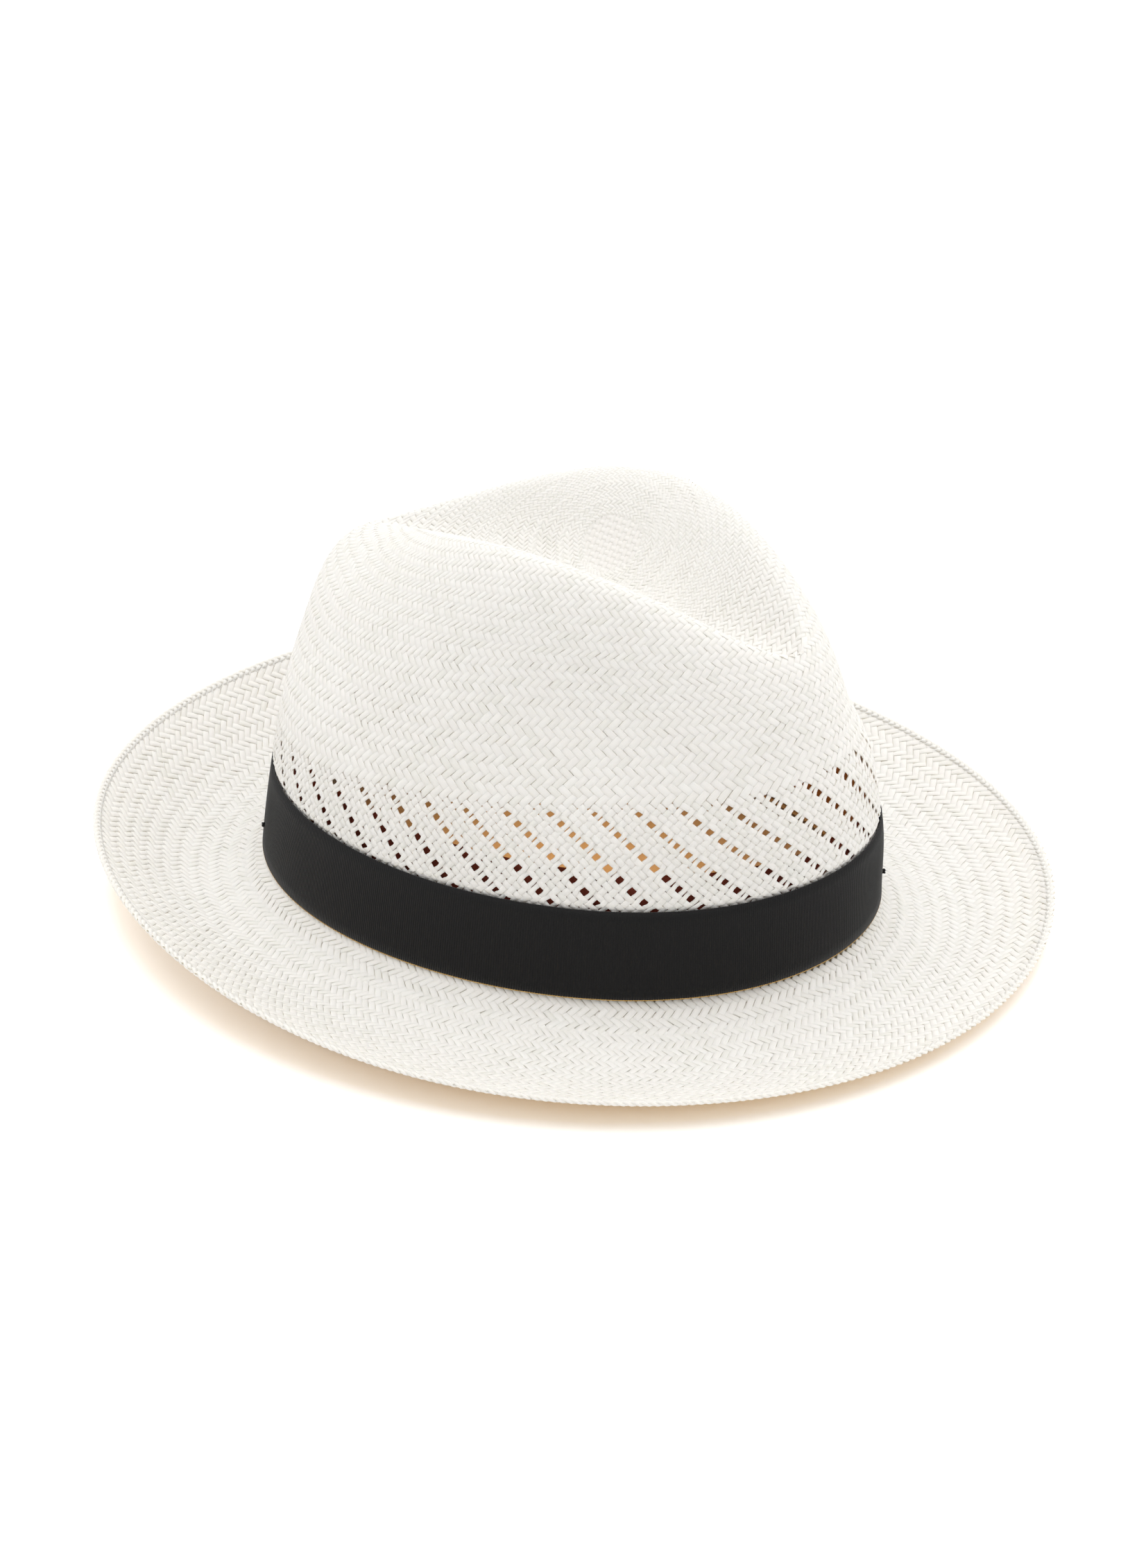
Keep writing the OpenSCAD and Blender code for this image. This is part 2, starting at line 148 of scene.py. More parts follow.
def ridge_slope(c):
    return -sum(i * a * c ** (i - 1) for i, a in enumerate(RIDGE_DROP_TERMS) if i) / RIDGE_HALF_LENGTH


def ridge_point(t):
    c = np.cos(t)
    x = np.sin(t) * RIDGE_HALF_WIDTH * power_sum(RIDGE_WIDTH_TERMS, c)
    return x, RIDGE_MIDDLE - RIDGE_HALF_LENGTH * c, ridge_level(c)


def cubic(a, b, c, d, u):
    return a * (1 - u) ** 3 + 3 * b * u * (1 - u) ** 2 + 3 * c * u * u * (1 - u) + d * u**3


def pinched(x, y, z):
    w = np.exp(-(((y - PINCH_Y) / PINCH_REACH) ** 2) - ((z - PINCH_Z) / PINCH_REACH) ** 2)
    return np.stack([x - PINCH_DEPTH * w * np.tanh(x / PINCH_FADE), y, z], -1)


def band_top(t):
    return wave_sum(BAND_RISE_TERMS, t) + RIBBON_WIDTH


def swell(t, z, above_band):
    """How far the wall swells out: broadly at one front corner, and all round just above the ribbon."""
    beside = (t - SWELL_TURN + math.pi) % TAU - math.pi
    fade = 1 - smooth((z - SWELL_TOP) / (SWELL_END - SWELL_TOP))
    corner = SWELL_DEPTH * np.exp(-((beside / SWELL_SPREAD) ** 2)) * smooth(z / SWELL_LOW)
    rim = wave_sum(RIM_SWELL_TERMS, t) * smooth((z - band_top(t)) / RIM_RISE)
    return (corner + rim * above_band) * fade


def wall_point(t, u, above_band=1):
    rx, ry, rz = ridge_point(t)
    ax, ay = base_oval(t)
    length = np.hypot(ax - rx, ay - ry)
    ex, ey = (ax - rx) / length, (ay - ry) / length
    upright = rz * around(t, UPRIGHT_SIDE, UPRIGHT_END, UPRIGHT_END)
    bx, by = oval(t, BASE_HALF_WIDTH - SIDE_LEAN * upright, BASE_HALF_LENGTH - END_LEAN * upright)
    reach = around(t, SHOULDER_SIDE, SHOULDER_BACK, SHOULDER_FRONT)
    shoulder = rz + ridge_slope(np.cos(t)) * ey * reach
    z = cubic(0 * t, upright, shoulder, rz, u)
    out = swell(t, z, above_band)
    x = cubic(ax, bx, rx + ex * reach, rx, u) + ex * out
    y = cubic(ay, by, ry + ey * reach, ry, u) + ey * out
    return pinched(x, y, z)


def dent_at(x, y):
    """The point of the top's dent above a place seen from above."""
    c = np.clip((RIDGE_MIDDLE - y) / RIDGE_HALF_LENGTH, -1, 1)
    reach = np.maximum(ridge_reach(c), 1e-6)
    q = np.clip(x / reach, -1, 1)
    depth = DENT_DEPTH * (reach / RIDGE_HALF_WIDTH) ** DENT_POWER * (1 - q * q) ** 2
    return pinched(x, y, ridge_level(c) - depth)


def dent_point(t, u):
    rx, ry, _ = ridge_point(t)
    return dent_at(rx + (WEAVE_START[0] - rx) * u, ry + (WEAVE_START[1] - ry) * u)


def brim_point(t, turn_out, v):
    """t is the turn at the crown and turn_out the turn at the edge, so that the rows can fan out evenly."""
    ax, ay = base_oval(t)
    bx, by = edge_oval(turn_out)
    far = np.hypot(bx - ax, by - ay) * v
    front = (1 + np.cos(turn_out)) / 2
    rise = wave_sum(EDGE_HEIGHT_TERMS, turn_out) - LIP_HEIGHT * front
    lip = LIP_HEIGHT * front * np.clip((v - LIP_START) / (1 - LIP_START), 0, 1) ** 1.5
    sag = BRIM_SAG * np.clip(np.sin(math.pi * v**0.8), 0, 1) ** 1.3
    fillet = FILLET_HEIGHT * (1 - np.minimum(1, far / FILLET_REACH)) ** 2
    z = rise * v**2.2 + lip - sag + fillet
    return np.stack([ax + (bx - ax) * v, ay + (by - ay) * v, z], -1)


# A surface kept as a fine grid: place runs once round the hat from 0 to 1, row along the other direction.


class Surface:
    def __init__(self, points, first_row, last_row, inward=False):
        self.points = points
        self.first, self.last = first_row, last_row
        self.round, self.rows = points.shape[0], points.shape[1]
        along = np.roll(points, -1, 0) - np.roll(points, 1, 0)
        up = np.gradient(points, axis=1)
        normals = unit(np.cross(along, up))
        self.normals = -normals if inward else normals

    def _mix(self, grid, place, row):
        a = (place % 1.0) * self.round
        b = (row - self.first) / (self.last - self.first) * (self.rows - 1)
        i = np.floor(a).astype(int)
        j = np.clip(np.floor(b).astype(int), 0, self.rows - 2)
        fa, fb = (a - i)[..., None], (b - j)[..., None]
        i, i2 = i % self.round, (i + 1) % self.round
        low = grid[i, j] * (1 - fa) + grid[i2, j] * fa
        high = grid[i, j + 1] * (1 - fa) + grid[i2, j + 1] * fa
        return low * (1 - fb) + high * fb

    def point(self, place, row):
        return self._mix(self.points, place, row)

    def normal(self, place, row):
        return unit(self._mix(self.normals, place, row))


# Turns close enough together to measure a curve by them
FINE_TURNS = np.linspace(0, TAU, 2881)


def even_turns(curve, places):
    """The turns at which a closed curve is reached when walking round it at an even pace."""
    x, y = curve(FINE_TURNS)[:2]
    far = np.concatenate([[0], np.cumsum(np.hypot(np.diff(x), np.diff(y)))])
    return np.interp(places, far / far[-1], FINE_TURNS)


def polar_turns(places):
    """The ridge's turns seen at even angles from the place where the weave began."""
    x, y, _ = ridge_point(FINE_TURNS)
    angle = np.unwrap(np.arctan2(y - WEAVE_START[1], x - WEAVE_START[0]))
    share = (angle - angle[0]) / (angle[-1] - angle[0])
    return np.interp(places, share, FINE_TURNS)


def walked(line):
    """How far along a line each of its points lies."""
    return np.concatenate([[0], np.cumsum(np.linalg.norm(np.diff(line, axis=0), axis=1))])


def walk(line, lengths):
    """The points of a line at some distances along it."""
    far = walked(line)
    return np.stack([np.interp(lengths, far, line[:, axis]) for axis in range(3)], -1)


def by_length(lines, lengths_wanted):
    """Each line walked to the given lengths, one row of wanted lengths per line."""
    return np.stack([walk(line, lengths) for line, lengths in zip(lines, lengths_wanted)])


ROUND = 720
places = np.arange(ROUND) / ROUND
base_turns = even_turns(base_oval, places)
ridge_turns = even_turns(ridge_point, places)
start_turns = polar_turns(places)
edge_turns = even_turns(edge_oval, places)

# The openwork's top edge is highest near the front, and its rows are evenly spaced down from there
OPEN_TOP, OPEN_TILT, OPEN_TURN = 55.0, 14.0, math.radians(-12)
OPEN_ROW = 1.785
OPEN_ROWS = 22

WALL_SAMPLES, DENT_SAMPLES, DENT_END = 241, 161, 0.995
# The lower samples of the wall, over which its height only rises
RISING_SAMPLES = 120

wall_shares = np.linspace(0, 1, WALL_SAMPLES)
dent_shares = np.linspace(0, DENT_END, DENT_SAMPLES)[1:]
wall_turns = base_turns[:, None] + (ridge_turns - base_turns)[:, None] * smooth(wall_shares)
dent_turns = ridge_turns[:, None] + (start_turns - ridge_turns)[:, None] * smooth(dent_shares)
crown_lines = np.concatenate(
    [wall_point(wall_turns, wall_shares[None, :]), dent_point(dent_turns, dent_shares[None, :])], axis=1
)
crown_steps = np.linalg.norm(np.diff(crown_lines, axis=1), axis=2)
crown_far = np.concatenate([np.zeros((ROUND, 1)), np.cumsum(crown_steps, axis=1)], axis=1)
far_total = crown_far[:, -1]
open_tops = OPEN_TOP + OPEN_TILT * np.cos(base_turns - OPEN_TURN)
far_open = np.empty(ROUND)
for k, top in enumerate(open_tops):
    far_open[k] = np.interp(top, crown_lines[k, :RISING_SAMPLES, 2], crown_far[k, :RISING_SAMPLES])

# The share of the way round that faces the camera, where the rows set the pace of the weave
NEAR_PLACE = 0.85


def crown_share(share):
    """Points at a share of the way from the openwork's top edge to the place where the weave began."""
    wanted = far_open + (far_total - far_open) * share
    return by_length(crown_lines, wanted[:, None])[:, 0]


SHARE_STEPS = 121
shares = np.linspace(0, 1, SHARE_STEPS)
girth = []
for share in shares:
    ring = crown_share(share)
    girth.append(np.linalg.norm(np.roll(ring, -1, 0) - ring, axis=1).sum())
girth = np.array(girth)
near_index = int(NEAR_PLACE * ROUND)
near_length = far_total[near_index] - far_open[near_index]


# How steeply the strands run: the height of a row against half the spacing of the strands
STEEP = 0.88


def row_shares(low, high, count):
    """Row numbers against shares of the way up for a zone of the crown with a number of strands."""
    share = np.linspace(low, high, 200)
    row_step = np.interp(share, shares, girth) / count / 2 * STEEP
    between = (row_step[1:] + row_step[:-1]) / 2
    rows = np.concatenate([[0], np.cumsum(np.diff(share) * near_length / between)])
    whole = max(4, int(round(rows[-1] / 4)) * 4)
    return rows * whole / rows[-1], share, whole


def even_rings(points):
    """The same closed rings, with their points moved along them to lie at even distances."""
    made = np.empty_like(points)
    for row in range(points.shape[1]):
        ring = np.concatenate([points[:, row], points[:1, row]])
        made[:, row] = walk(ring, places * walked(ring)[-1])
    return made


def crown_zone(low, high, count, below=0):
    """The surface of one zone of the crown; below adds rows of openwork under it."""
    rows, share, whole = row_shares(low, high, count)
    wanted_rows = np.linspace(-below, whole, (whole + below) * 2 + 1)
    share_at = np.interp(wanted_rows, rows, share)
    wanted = far_open[:, None] + (far_total - far_open)[:, None] * share_at[None, :]
    wanted = wanted + np.minimum(wanted_rows, 0)[None, :] * OPEN_ROW
    return Surface(even_rings(by_length(crown_lines, wanted)), -below, whole), whole


def brim_zone(low, high, rows):
    """The surface of one zone of the brim, between two shares of the way out."""
    v = np.linspace(0, 1, 161) * 0.999
    outer = np.repeat(edge_turns[:, None], len(v), 1)
    inner = np.repeat(base_turns[:, None], len(v), 1)
    lines = brim_point(inner, outer, v[None, :])
    steps = np.linalg.norm(np.diff(lines, axis=1), axis=2)
    total = steps.sum(axis=1) - BORDER_WIDTH + BORDER_LAP
    share = np.linspace(low, high, rows * 2 + 1)
    return Surface(by_length(lines, total[:, None] * share[None, :]), 0, rows, inward=True)


# The lower wall by height, for the ribbon outside it and the leather inside it
WALL_LOW, WALL_HIGH = -4.0, 66.0
heights = np.linspace(WALL_LOW, WALL_HIGH, 141)
plain_turns = places * TAU
wall_grid = np.empty((ROUND, len(heights), 3))
for k, t in enumerate(plain_turns):
    line = wall_point(np.full(WALL_SAMPLES, t), wall_shares, above_band=0)[:RISING_SAMPLES]
    for axis in range(2):
        wall_grid[k, :, axis] = np.interp(heights, line[:, 2], line[:, axis])
    low = heights <= 0
    half_width = BASE_HALF_WIDTH - SIDE_LEAN * heights[low]
    half_length = BASE_HALF_LENGTH - END_LEAN * heights[low]
    wall_grid[k, low, 0], wall_grid[k, low, 1] = oval(t, half_width, half_length)
    wall_grid[k, :, 2] = heights
lower_wall = Surface(wall_grid, WALL_LOW, WALL_HIGH)


def beside_wall(t, z, out):
    """The point at height z that lies out millimetres outside the straw's outer face."""
    return lower_wall.point(t / TAU, z) + outward(t) * np.asarray(out)[..., None]


def band_point(t, h, off):
    """The point h above the ribbon's lower edge and off millimetres outside its face."""
    return beside_wall(t, wave_sum(BAND_RISE_TERMS, t) + h, BAND_GAP + RIBBON_THICK + off)


# Millimetres round the hat for one radian of turn, at the bow
half_degree = math.radians(0.5)
bow_before, bow_after = (np.array(base_oval(BOW_TURN + k * half_degree)) for k in (-1, 1))
BOW_RADIAN = float(np.linalg.norm(bow_after - bow_before)) / (2 * half_degree)


def bow_point(along, h, off):
    """The same for a place along millimetres from the bow's middle."""
    along, h, off = np.broadcast_arrays(*(np.asarray(a, float) for a in (along, h, off)))
    return band_point(BOW_TURN + along / BOW_RADIAN, h, off)


# Meshes


def mesh_object(name, points, faces, material, tints=None, body="root"):
    """A smooth mesh from points in millimetres and quads; tints is a number from 0 to 1 for each point."""
    mesh = bpy.data.meshes.new(name)
    points = np.asarray(points, dtype=np.float32).reshape(-1, 3) * MM
    faces = np.asarray(faces, dtype=np.int32).reshape(-1, 4)
    mesh.vertices.add(len(points))
    mesh.vertices.foreach_set("co", points.ravel())
    mesh.loops.add(faces.size)
    mesh.loops.foreach_set("vertex_index", faces.ravel())
    mesh.polygons.add(len(faces))
    mesh.polygons.foreach_set("loop_start", np.arange(0, faces.size, 4, dtype=np.int32))
    mesh.polygons.foreach_set("use_smooth", np.ones(len(faces), dtype=bool))
    if tints is not None:
        layer = mesh.attributes.new("tint", "FLOAT", "POINT")
        layer.data.foreach_set("value", np.asarray(tints, dtype=np.float32).ravel())
    mesh.update(calc_edges=True)
    mesh.validate()
    made = bpy.data.objects.new(name, mesh)
    bpy.context.scene.collection.objects.link(made)
    mesh.materials.append(material)
    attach(made, body)
    return made


def grid_faces(rows, columns, closed_rows=False):
    """Quads of a tube numbered row by row; closed_rows joins its last row to its first."""
    i = np.arange(rows if closed_rows else rows - 1)
    j = np.arange(columns)
    i, j = np.meshgrid(i, j, indexing="ij")
    i2, j2 = (i + 1) % rows, (j + 1) % columns
    corners = [i * columns + j, i * columns + j2, i2 * columns + j2, i2 * columns + j]
    return np.stack(corners, -1).reshape(-1, 4)


# A strand's section: across and thick, as shares of its half width and half thickness
WIDE_SECTION = ((-1, 0), (-0.8, 1), (0.8, 1), (1, 0), (0.8, -1), (-0.8, -1))


def strand_points(centre, normal, half_width, half_thick):
    """Sections set along strands: centre is an array of strands by samples by 3."""
    run = unit(np.gradient(centre, axis=1))
    side = unit(np.cross(run, normal))
    face = unit(np.cross(side, run))
    across, thick = np.array(WIDE_SECTION).T
    width = half_width[..., None, None] * across[:, None]
    height = half_thick * thick[:, None]
    return centre[:, :, None, :] + side[:, :, None, :] * width + face[:, :, None, :] * height


def strand_faces(points, closed=False):
    """Faces for strands given as an array of strands by samples by section points by 3."""
    strands, samples, corners = points.shape[:3]
    one = grid_faces(samples, corners, closed_rows=closed)
    shift = (np.arange(strands) * samples * corners)[:, None, None]
    return (one[None] + shift).reshape(-1, 4)


# How quickly a strand passes from over to under
SNAP = 1.7


def over_and_under(rows, period):
    """1 where the rising strand lies on top and -1 where it lies below, eased between."""
    return np.tanh(SNAP * np.sin(math.pi * (rows + 0.5) * 2 / period)) / math.tanh(SNAP)


def ripple(place, row):
    """How far, in rows, the rows wander up and down as they run round the hat."""
    return 0.3 * np.sin(3 * TAU * place + 0.21 * row) + 0.2 * np.sin(7 * TAU * place - 0.13 * row + 1)


# Strands stay this wide where they crowd together, so that no hole opens between them
NARROWEST = 1.15
# Strands closer together than this go over and under each other by less
FULL_LIFT_SPACING = 2.1
# How far each strand drifts from its place, as a share of the spacing
DRIFT = 0.035
# How much deeper each row beyond a zone's first and last row lies
TUCK_LOW, TUCK_HIGH = 0.02, 0.2


def woven(name, surface, count, low, high, rising, material, seed, period=4, lift=0.27, half_thick=0.24,
          fill=1.0, widest=2.15, part=(0, 1), shift=None, narrow=None, samples=2, over=(0, 0)):
    """One family of strands of a woven zone, rising or falling as they run up the rows.

    part is the share of the way round that is made, and over adds rows under the zones below and above.
    """
    chance = np.random.RandomState(seed)
    sign = 1 if rising else -1
    first, last = low, high
    low, high = low - over[0], high + over[1]
    index = np.arange(int(count * part[0]), int(count * part[1]))
    steps = (np.arange((high - low) * samples) + 0.5) / samples - 0.5 + low
    steps = np.concatenate([[low - 0.5], steps, [high - 0.5]])
    index, row = np.meshgrid(index, steps, indexing="ij")
    wander = chance.uniform(-1, 1, (index.shape[0], 3))
    phase = chance.uniform(0, TAU, (index.shape[0], 3))
    drift = sum(
        DRIFT * wander[:, k : k + 1] * np.sin(row * (0.11 + 0.17 * k) + phase[:, k : k + 1])
        for k in range(3)
    )
    moved = drift if shift is None else drift + shift(index, row)
    place = (index + moved + sign * row / 2) / count
    height = sign * over_and_under(row, period) if period == 4 else sign * np.cos(math.pi * row)
    seen = row + ripple(place, row)
    normal = surface.normal(place, seen)
    base = surface.point(place, seen)
    run = unit(np.gradient(base, axis=1))
    step = surface.point(place + 0.5 / count, seen) - surface.point(place - 0.5 / count, seen)
    square = step - run * np.sum(step * run, -1, keepdims=True)
    spacing = np.linalg.norm(square, axis=-1)
    uneven = 1 + 0.12 * chance.uniform(-1, 1, index.shape)
    height = height * lift * np.minimum(1, spacing / FULL_LIFT_SPACING) * uneven
    tucked = TUCK_LOW * np.maximum(0, first - 0.5 - row) + TUCK_HIGH * np.maximum(0, row - last + 0.5)
    centre = base + normal * (height - STRAW_THICK / 2 - tucked)[..., None]
    width = np.clip(fill * spacing, NARROWEST, widest) * (1 + 0.05 * wander[:, :1])
    if narrow is not None:
        width = width * narrow(index, row)
    points = strand_points(centre, normal, width / 2, half_thick)
    tints = 0.5 + 0.35 * wander[:, :1] + 0.15 * np.sin(row * 0.3 + phase[:, :1])
    tints = np.repeat(tints[..., None], len(WIDE_SECTION), 2)
    made = mesh_object(name, points, strand_faces(points), material, tints)
    return made


# Materials


def linear(r, g, b):
    """A screen colour, from 0 to 255, as the value that shaders take."""
    shares = [c / 255 for c in (r, g, b)]
    return tuple(c / 12.92 if c < 0.04 else ((c + 0.055) / 1.055) ** 2.4 for c in shares) + (1.0,)


def new_material(name):
    material = bpy.data.materials.new(name)
    material.use_nodes = True
    tree = material.node_tree
    shader = tree.nodes["Principled BSDF"]
    return material, tree, shader


def set_inputs(node, values):
    """Sets inputs of a node by their names."""
    for name, value in values.items():
        node.inputs[name].default_value = value


def noise(tree, scale, detail):
    coordinates = tree.nodes.new("ShaderNodeTexCoord")
    made = tree.nodes.new("ShaderNodeTexNoise")
    set_inputs(made, {"Scale": scale, "Detail": detail})
    tree.links.new(coordinates.outputs["Object"], made.inputs["Vector"])
    return made


def ramp(tree, source, stops):
    made = tree.nodes.new("ShaderNodeValToRGB")
    while len(made.color_ramp.elements) < len(stops):
        made.color_ramp.elements.new(0.5)
    for element, (at, colour) in zip(made.color_ramp.elements, stops):
        element.position = at
        element.color = colour
    tree.links.new(source, made.inputs["Fac"])
    return made


def bump(tree, shader, source, strength, distance):
    made = tree.nodes.new("ShaderNodeBump")
    set_inputs(made, {"Strength": strength, "Distance": distance})
    tree.links.new(source, made.inputs["Height"])
    tree.links.new(made.outputs["Normal"], shader.inputs["Normal"])


def straw_material():
    """Bleached straw: each strand has its own shade and fine fibres, and lets warm light through."""
    material, tree, shader = new_material("straw")
    tint = tree.nodes.new("ShaderNodeAttribute")
    tint.attribute_name = "tint"
    stops = [(0.0, linear(243, 243, 239)), (0.5, linear(248, 247, 245)), (1.0, linear(250, 250, 248))]
    shade = ramp(tree, tint.outputs["Fac"], stops)
    tree.links.new(shade.outputs["Color"], shader.inputs["Base Color"])
    fibres = noise(tree, 900, 2.0)
    bump(tree, shader, fibres.outputs["Fac"], 0.15, 0.0002)
    set_inputs(shader, {"Roughness": 0.5, "Specular IOR Level": 0.35})
    through = tree.nodes.new("ShaderNodeBsdfTranslucent")
    through.inputs["Color"].default_value = linear(253, 241, 211)
    mix = tree.nodes.new("ShaderNodeMixShader")
    mix.inputs["Fac"].default_value = 0.25
    tree.links.new(shader.outputs["BSDF"], mix.inputs[1])
    tree.links.new(through.outputs["BSDF"], mix.inputs[2])
    tree.links.new(mix.outputs["Shader"], tree.nodes["Material Output"].inputs["Surface"])
    return material


def cloth_material(name, dark, light, scale=1800, strength=0.4, distance=0.0002, rough=0.8):
    """Cloth whose threads run between two shades, with a bump of their size."""
    material, tree, shader = new_material(name)
    threads = noise(tree, scale, 2.0)
    shade = ramp(tree, threads.outputs["Fac"], [(0.3, dark), (0.7, light)])
    tree.links.new(shade.outputs["Color"], shader.inputs["Base Color"])
    bump(tree, shader, threads.outputs["Fac"], strength, distance)
    shader.inputs["Roughness"].default_value = rough
    return material


def ribbon_material():
    """Black grosgrain: nearly matte, with a faint sheen."""
    material = cloth_material("ribbon", linear(5, 5, 5), linear(16, 15, 15), 2500, 0.3, 0.0001, 0.62)
    shader = material.node_tree.nodes["Principled BSDF"]
    set_inputs(shader, {"Specular IOR Level": 0.22, "Sheen Weight": 0.14, "Sheen Roughness": 0.4})
    return material


def leather_material(name, dark, light, rough):
    """Leather in patches of two shades, with a fine grain."""
    material, tree, shader = new_material(name)
    patches = noise(tree, 60, 5.0)
    shade = ramp(tree, patches.outputs["Fac"], [(0.3, dark), (0.7, light)])
    tree.links.new(shade.outputs["Color"], shader.inputs["Base Color"])
    grain = tree.nodes.new("ShaderNodeTexVoronoi")
    grain.inputs["Scale"].default_value = 1400
    coordinates = tree.nodes.new("ShaderNodeTexCoord")
    tree.links.new(coordinates.outputs["Object"], grain.inputs["Vector"])
    bump(tree, shader, grain.outputs["Distance"], 0.25, 0.0003)
    shader.inputs["Roughness"].default_value = rough
    return material


STRAW = straw_material()
RIBBON = ribbon_material()
LEATHER = leather_material("leather_face", linear(168, 116, 62), linear(190, 138, 80), 0.45)
LEATHER_BACK = leather_material("leather_back", linear(140, 64, 48), linear(168, 84, 64), 0.85)
TAPE = cloth_material("tape", linear(214, 204, 184), linear(236, 228, 212))
THREAD = cloth_material("thread", linear(200, 188, 164), linear(226, 216, 196))
TACK = cloth_material("tack", linear(20, 19, 18), linear(36, 34, 33))
# Tan for the thin line under the ribbon's edge, which is painted warm shade
PAINTED_SHADE_LINE = cloth_material("painted_shade_line", linear(176, 136, 70), linear(212, 174, 104))

# The straw

STRANDS = 160

# The openwork: strands that fall go in groups of four, with a channel between two groups
GROUP = 4
GROUP_SHIFTS = np.array([0.31, 0.1, -0.1, -0.31])
CHANNEL_SPREAD = 0.85
# The channels open over this many rows, down from the openwork's top edge
FADE_ROWS = 2.5
# At a hole the rising strands beside it draw apart and get narrower by these shares
HOLE_SHIFT, HOLE_NARROW = 0.22, 0.27
SMALLEST_HOLE, HOLE_SPREAD = 0.45, 0.75


def in_openwork(row):
    return smooth((-row) / FADE_ROWS)


def falling_shift(index, row):
    return GROUP_SHIFTS[index % GROUP] * in_openwork(row)


def channel(index, row):
    """1 where a rising strand crosses the middle of a channel, falling to 0 beside it."""
    crossed = (index + row + 0.5 + GROUP / 2) % GROUP - GROUP / 2
    return np.exp(-((crossed / CHANNEL_SPREAD) ** 2)) * in_openwork(row)


def hole_size(index, row):
    """An uneven size for each hole, the same for the two strands beside it, from a scrambled number."""
    hole = np.floor((index + 1) / 2) * 12.99 + np.round((index + row + 0.5) / GROUP) * 78.23
    return SMALLEST_HOLE + HOLE_SPREAD * (np.sin(hole) * 43758.5453 % 1.0)


def rising_shift(index, row):
    side = np.where(index % 2 == 0, HOLE_SHIFT, -HOLE_SHIFT)
    return side * channel(index, row) * hole_size(index, row)


def rising_narrow(index, row):
    return 1 - HOLE_NARROW * channel(index, row)


# Each zone of the crown ends where its strands have come this close together, and the next has fewer
CLOSEST = 1.35
FEWER = 2 / 3
START_STRANDS = 36


def crown_zones():
    """The low share, high share and strand count of each zone, from the openwork up."""
    zones, low, count = [], 0.0, STRANDS
    while count >= START_STRANDS:
        high = float(np.interp(-CLOSEST * count, -girth, shares))
        zones.append((low, high, count))
        low, count = high, int(round(count * FEWER / 4)) * 4
    return zones


HALVES = ((0, 0.5), (0.5, 1))
straw_crown = []
for zone, (low, high, count) in enumerate(crown_zones()):
    is_wall = zone == 0
    surface, rows = crown_zone(low, high, count, below=OPEN_ROWS if is_wall else 0)
    for rising in (True, False):
        family = "rising" if rising else "falling"
        for half, part in enumerate(HALVES if is_wall else ((0, 1),)):
            straw_crown.append(
                woven(f"straw_crown_{zone + 1}_{family}_{half + 1}", surface, count, 0, rows, rising, STRAW,
                      seed=11 + 20 * zone + half + 2 * rising, part=part, lift=0.25 if is_wall else 0.2,
                      half_thick=0.21 if is_wall else 0.17, samples=2 if is_wall else 3,
                      fill=1.04, widest=3, over=(0, 2) if is_wall else (2, 2))
            )
            if not is_wall:
                continue
            straw_crown.append(
                woven(f"straw_openwork_{family}_{half + 1}", surface, count, -OPEN_ROWS, 0, rising, STRAW,
                      seed=21 + half + 2 * rising, part=part, period=2, samples=3, widest=2.05,
                      shift=rising_shift if rising else falling_shift,
                      narrow=rising_narrow if rising else None)
            )


# The square start of the weave: the spacing of its strands, and how far they run under the last ring
START_PITCH, START_LAP, START_SAMPLES = 1.55, 1.5, 61
START_LIFT, START_HALF_WIDTH, START_HALF_THICK = 0.09, 0.54 * START_PITCH, 0.15
# How much deeper its rim lies, under the last ring
START_SINK = 0.35


def rosette(name, turned):
    """One family of the square start of the weave: short straight strands that cross the other family."""
    ring = crown_share(crown_zones()[-1][1])
    reach = np.abs(ring[:, :2] - WEAVE_START).max(axis=0) + START_LAP
    first, last = (reach[1], reach[0]) if turned else (reach[0], reach[1])
    count = int(first / START_PITCH)
    numbers = np.arange(-count, count + 1)
    across = (numbers * START_PITCH)[:, None]
    along = np.linspace(-1, 1, START_SAMPLES)[None, :] * last * np.sqrt(1 - (across / first) ** 2)
    x, y = (along, across + 0 * along) if turned else (across + 0 * along, along)
    base = dent_at(WEAVE_START[0] + x, WEAVE_START[1] + y)
    step = 0.5
    beside = dent_at(WEAVE_START[0] + x + step, WEAVE_START[1] + y) - base
    behind = dent_at(WEAVE_START[0] + x, WEAVE_START[1] + y + step) - base
    normal = unit(np.cross(beside, behind))
    sign = 1 if turned else -1
    height = sign * START_LIFT * np.cos(math.pi * (along / START_PITCH + numbers[:, None]))
    sunk = STRAW_THICK / 2 + START_SINK * np.clip(np.hypot(x / reach[0], y / reach[1]), 0, 1) ** 4
    centre = base + normal * (height - sunk)[..., None]
    points = strand_points(centre, normal, np.full(x.shape, START_HALF_WIDTH), START_HALF_THICK)
    tints = np.broadcast_to((0.5 + 0.06 * np.sin(7.0 * numbers))[:, None, None], points.shape[:3])
    piece = mesh_object(name, points, strand_faces(points), STRAW, tints)
    return piece


straw_crown += [rosette("straw_start_one_way", True), rosette("straw_start_other_way", False)]

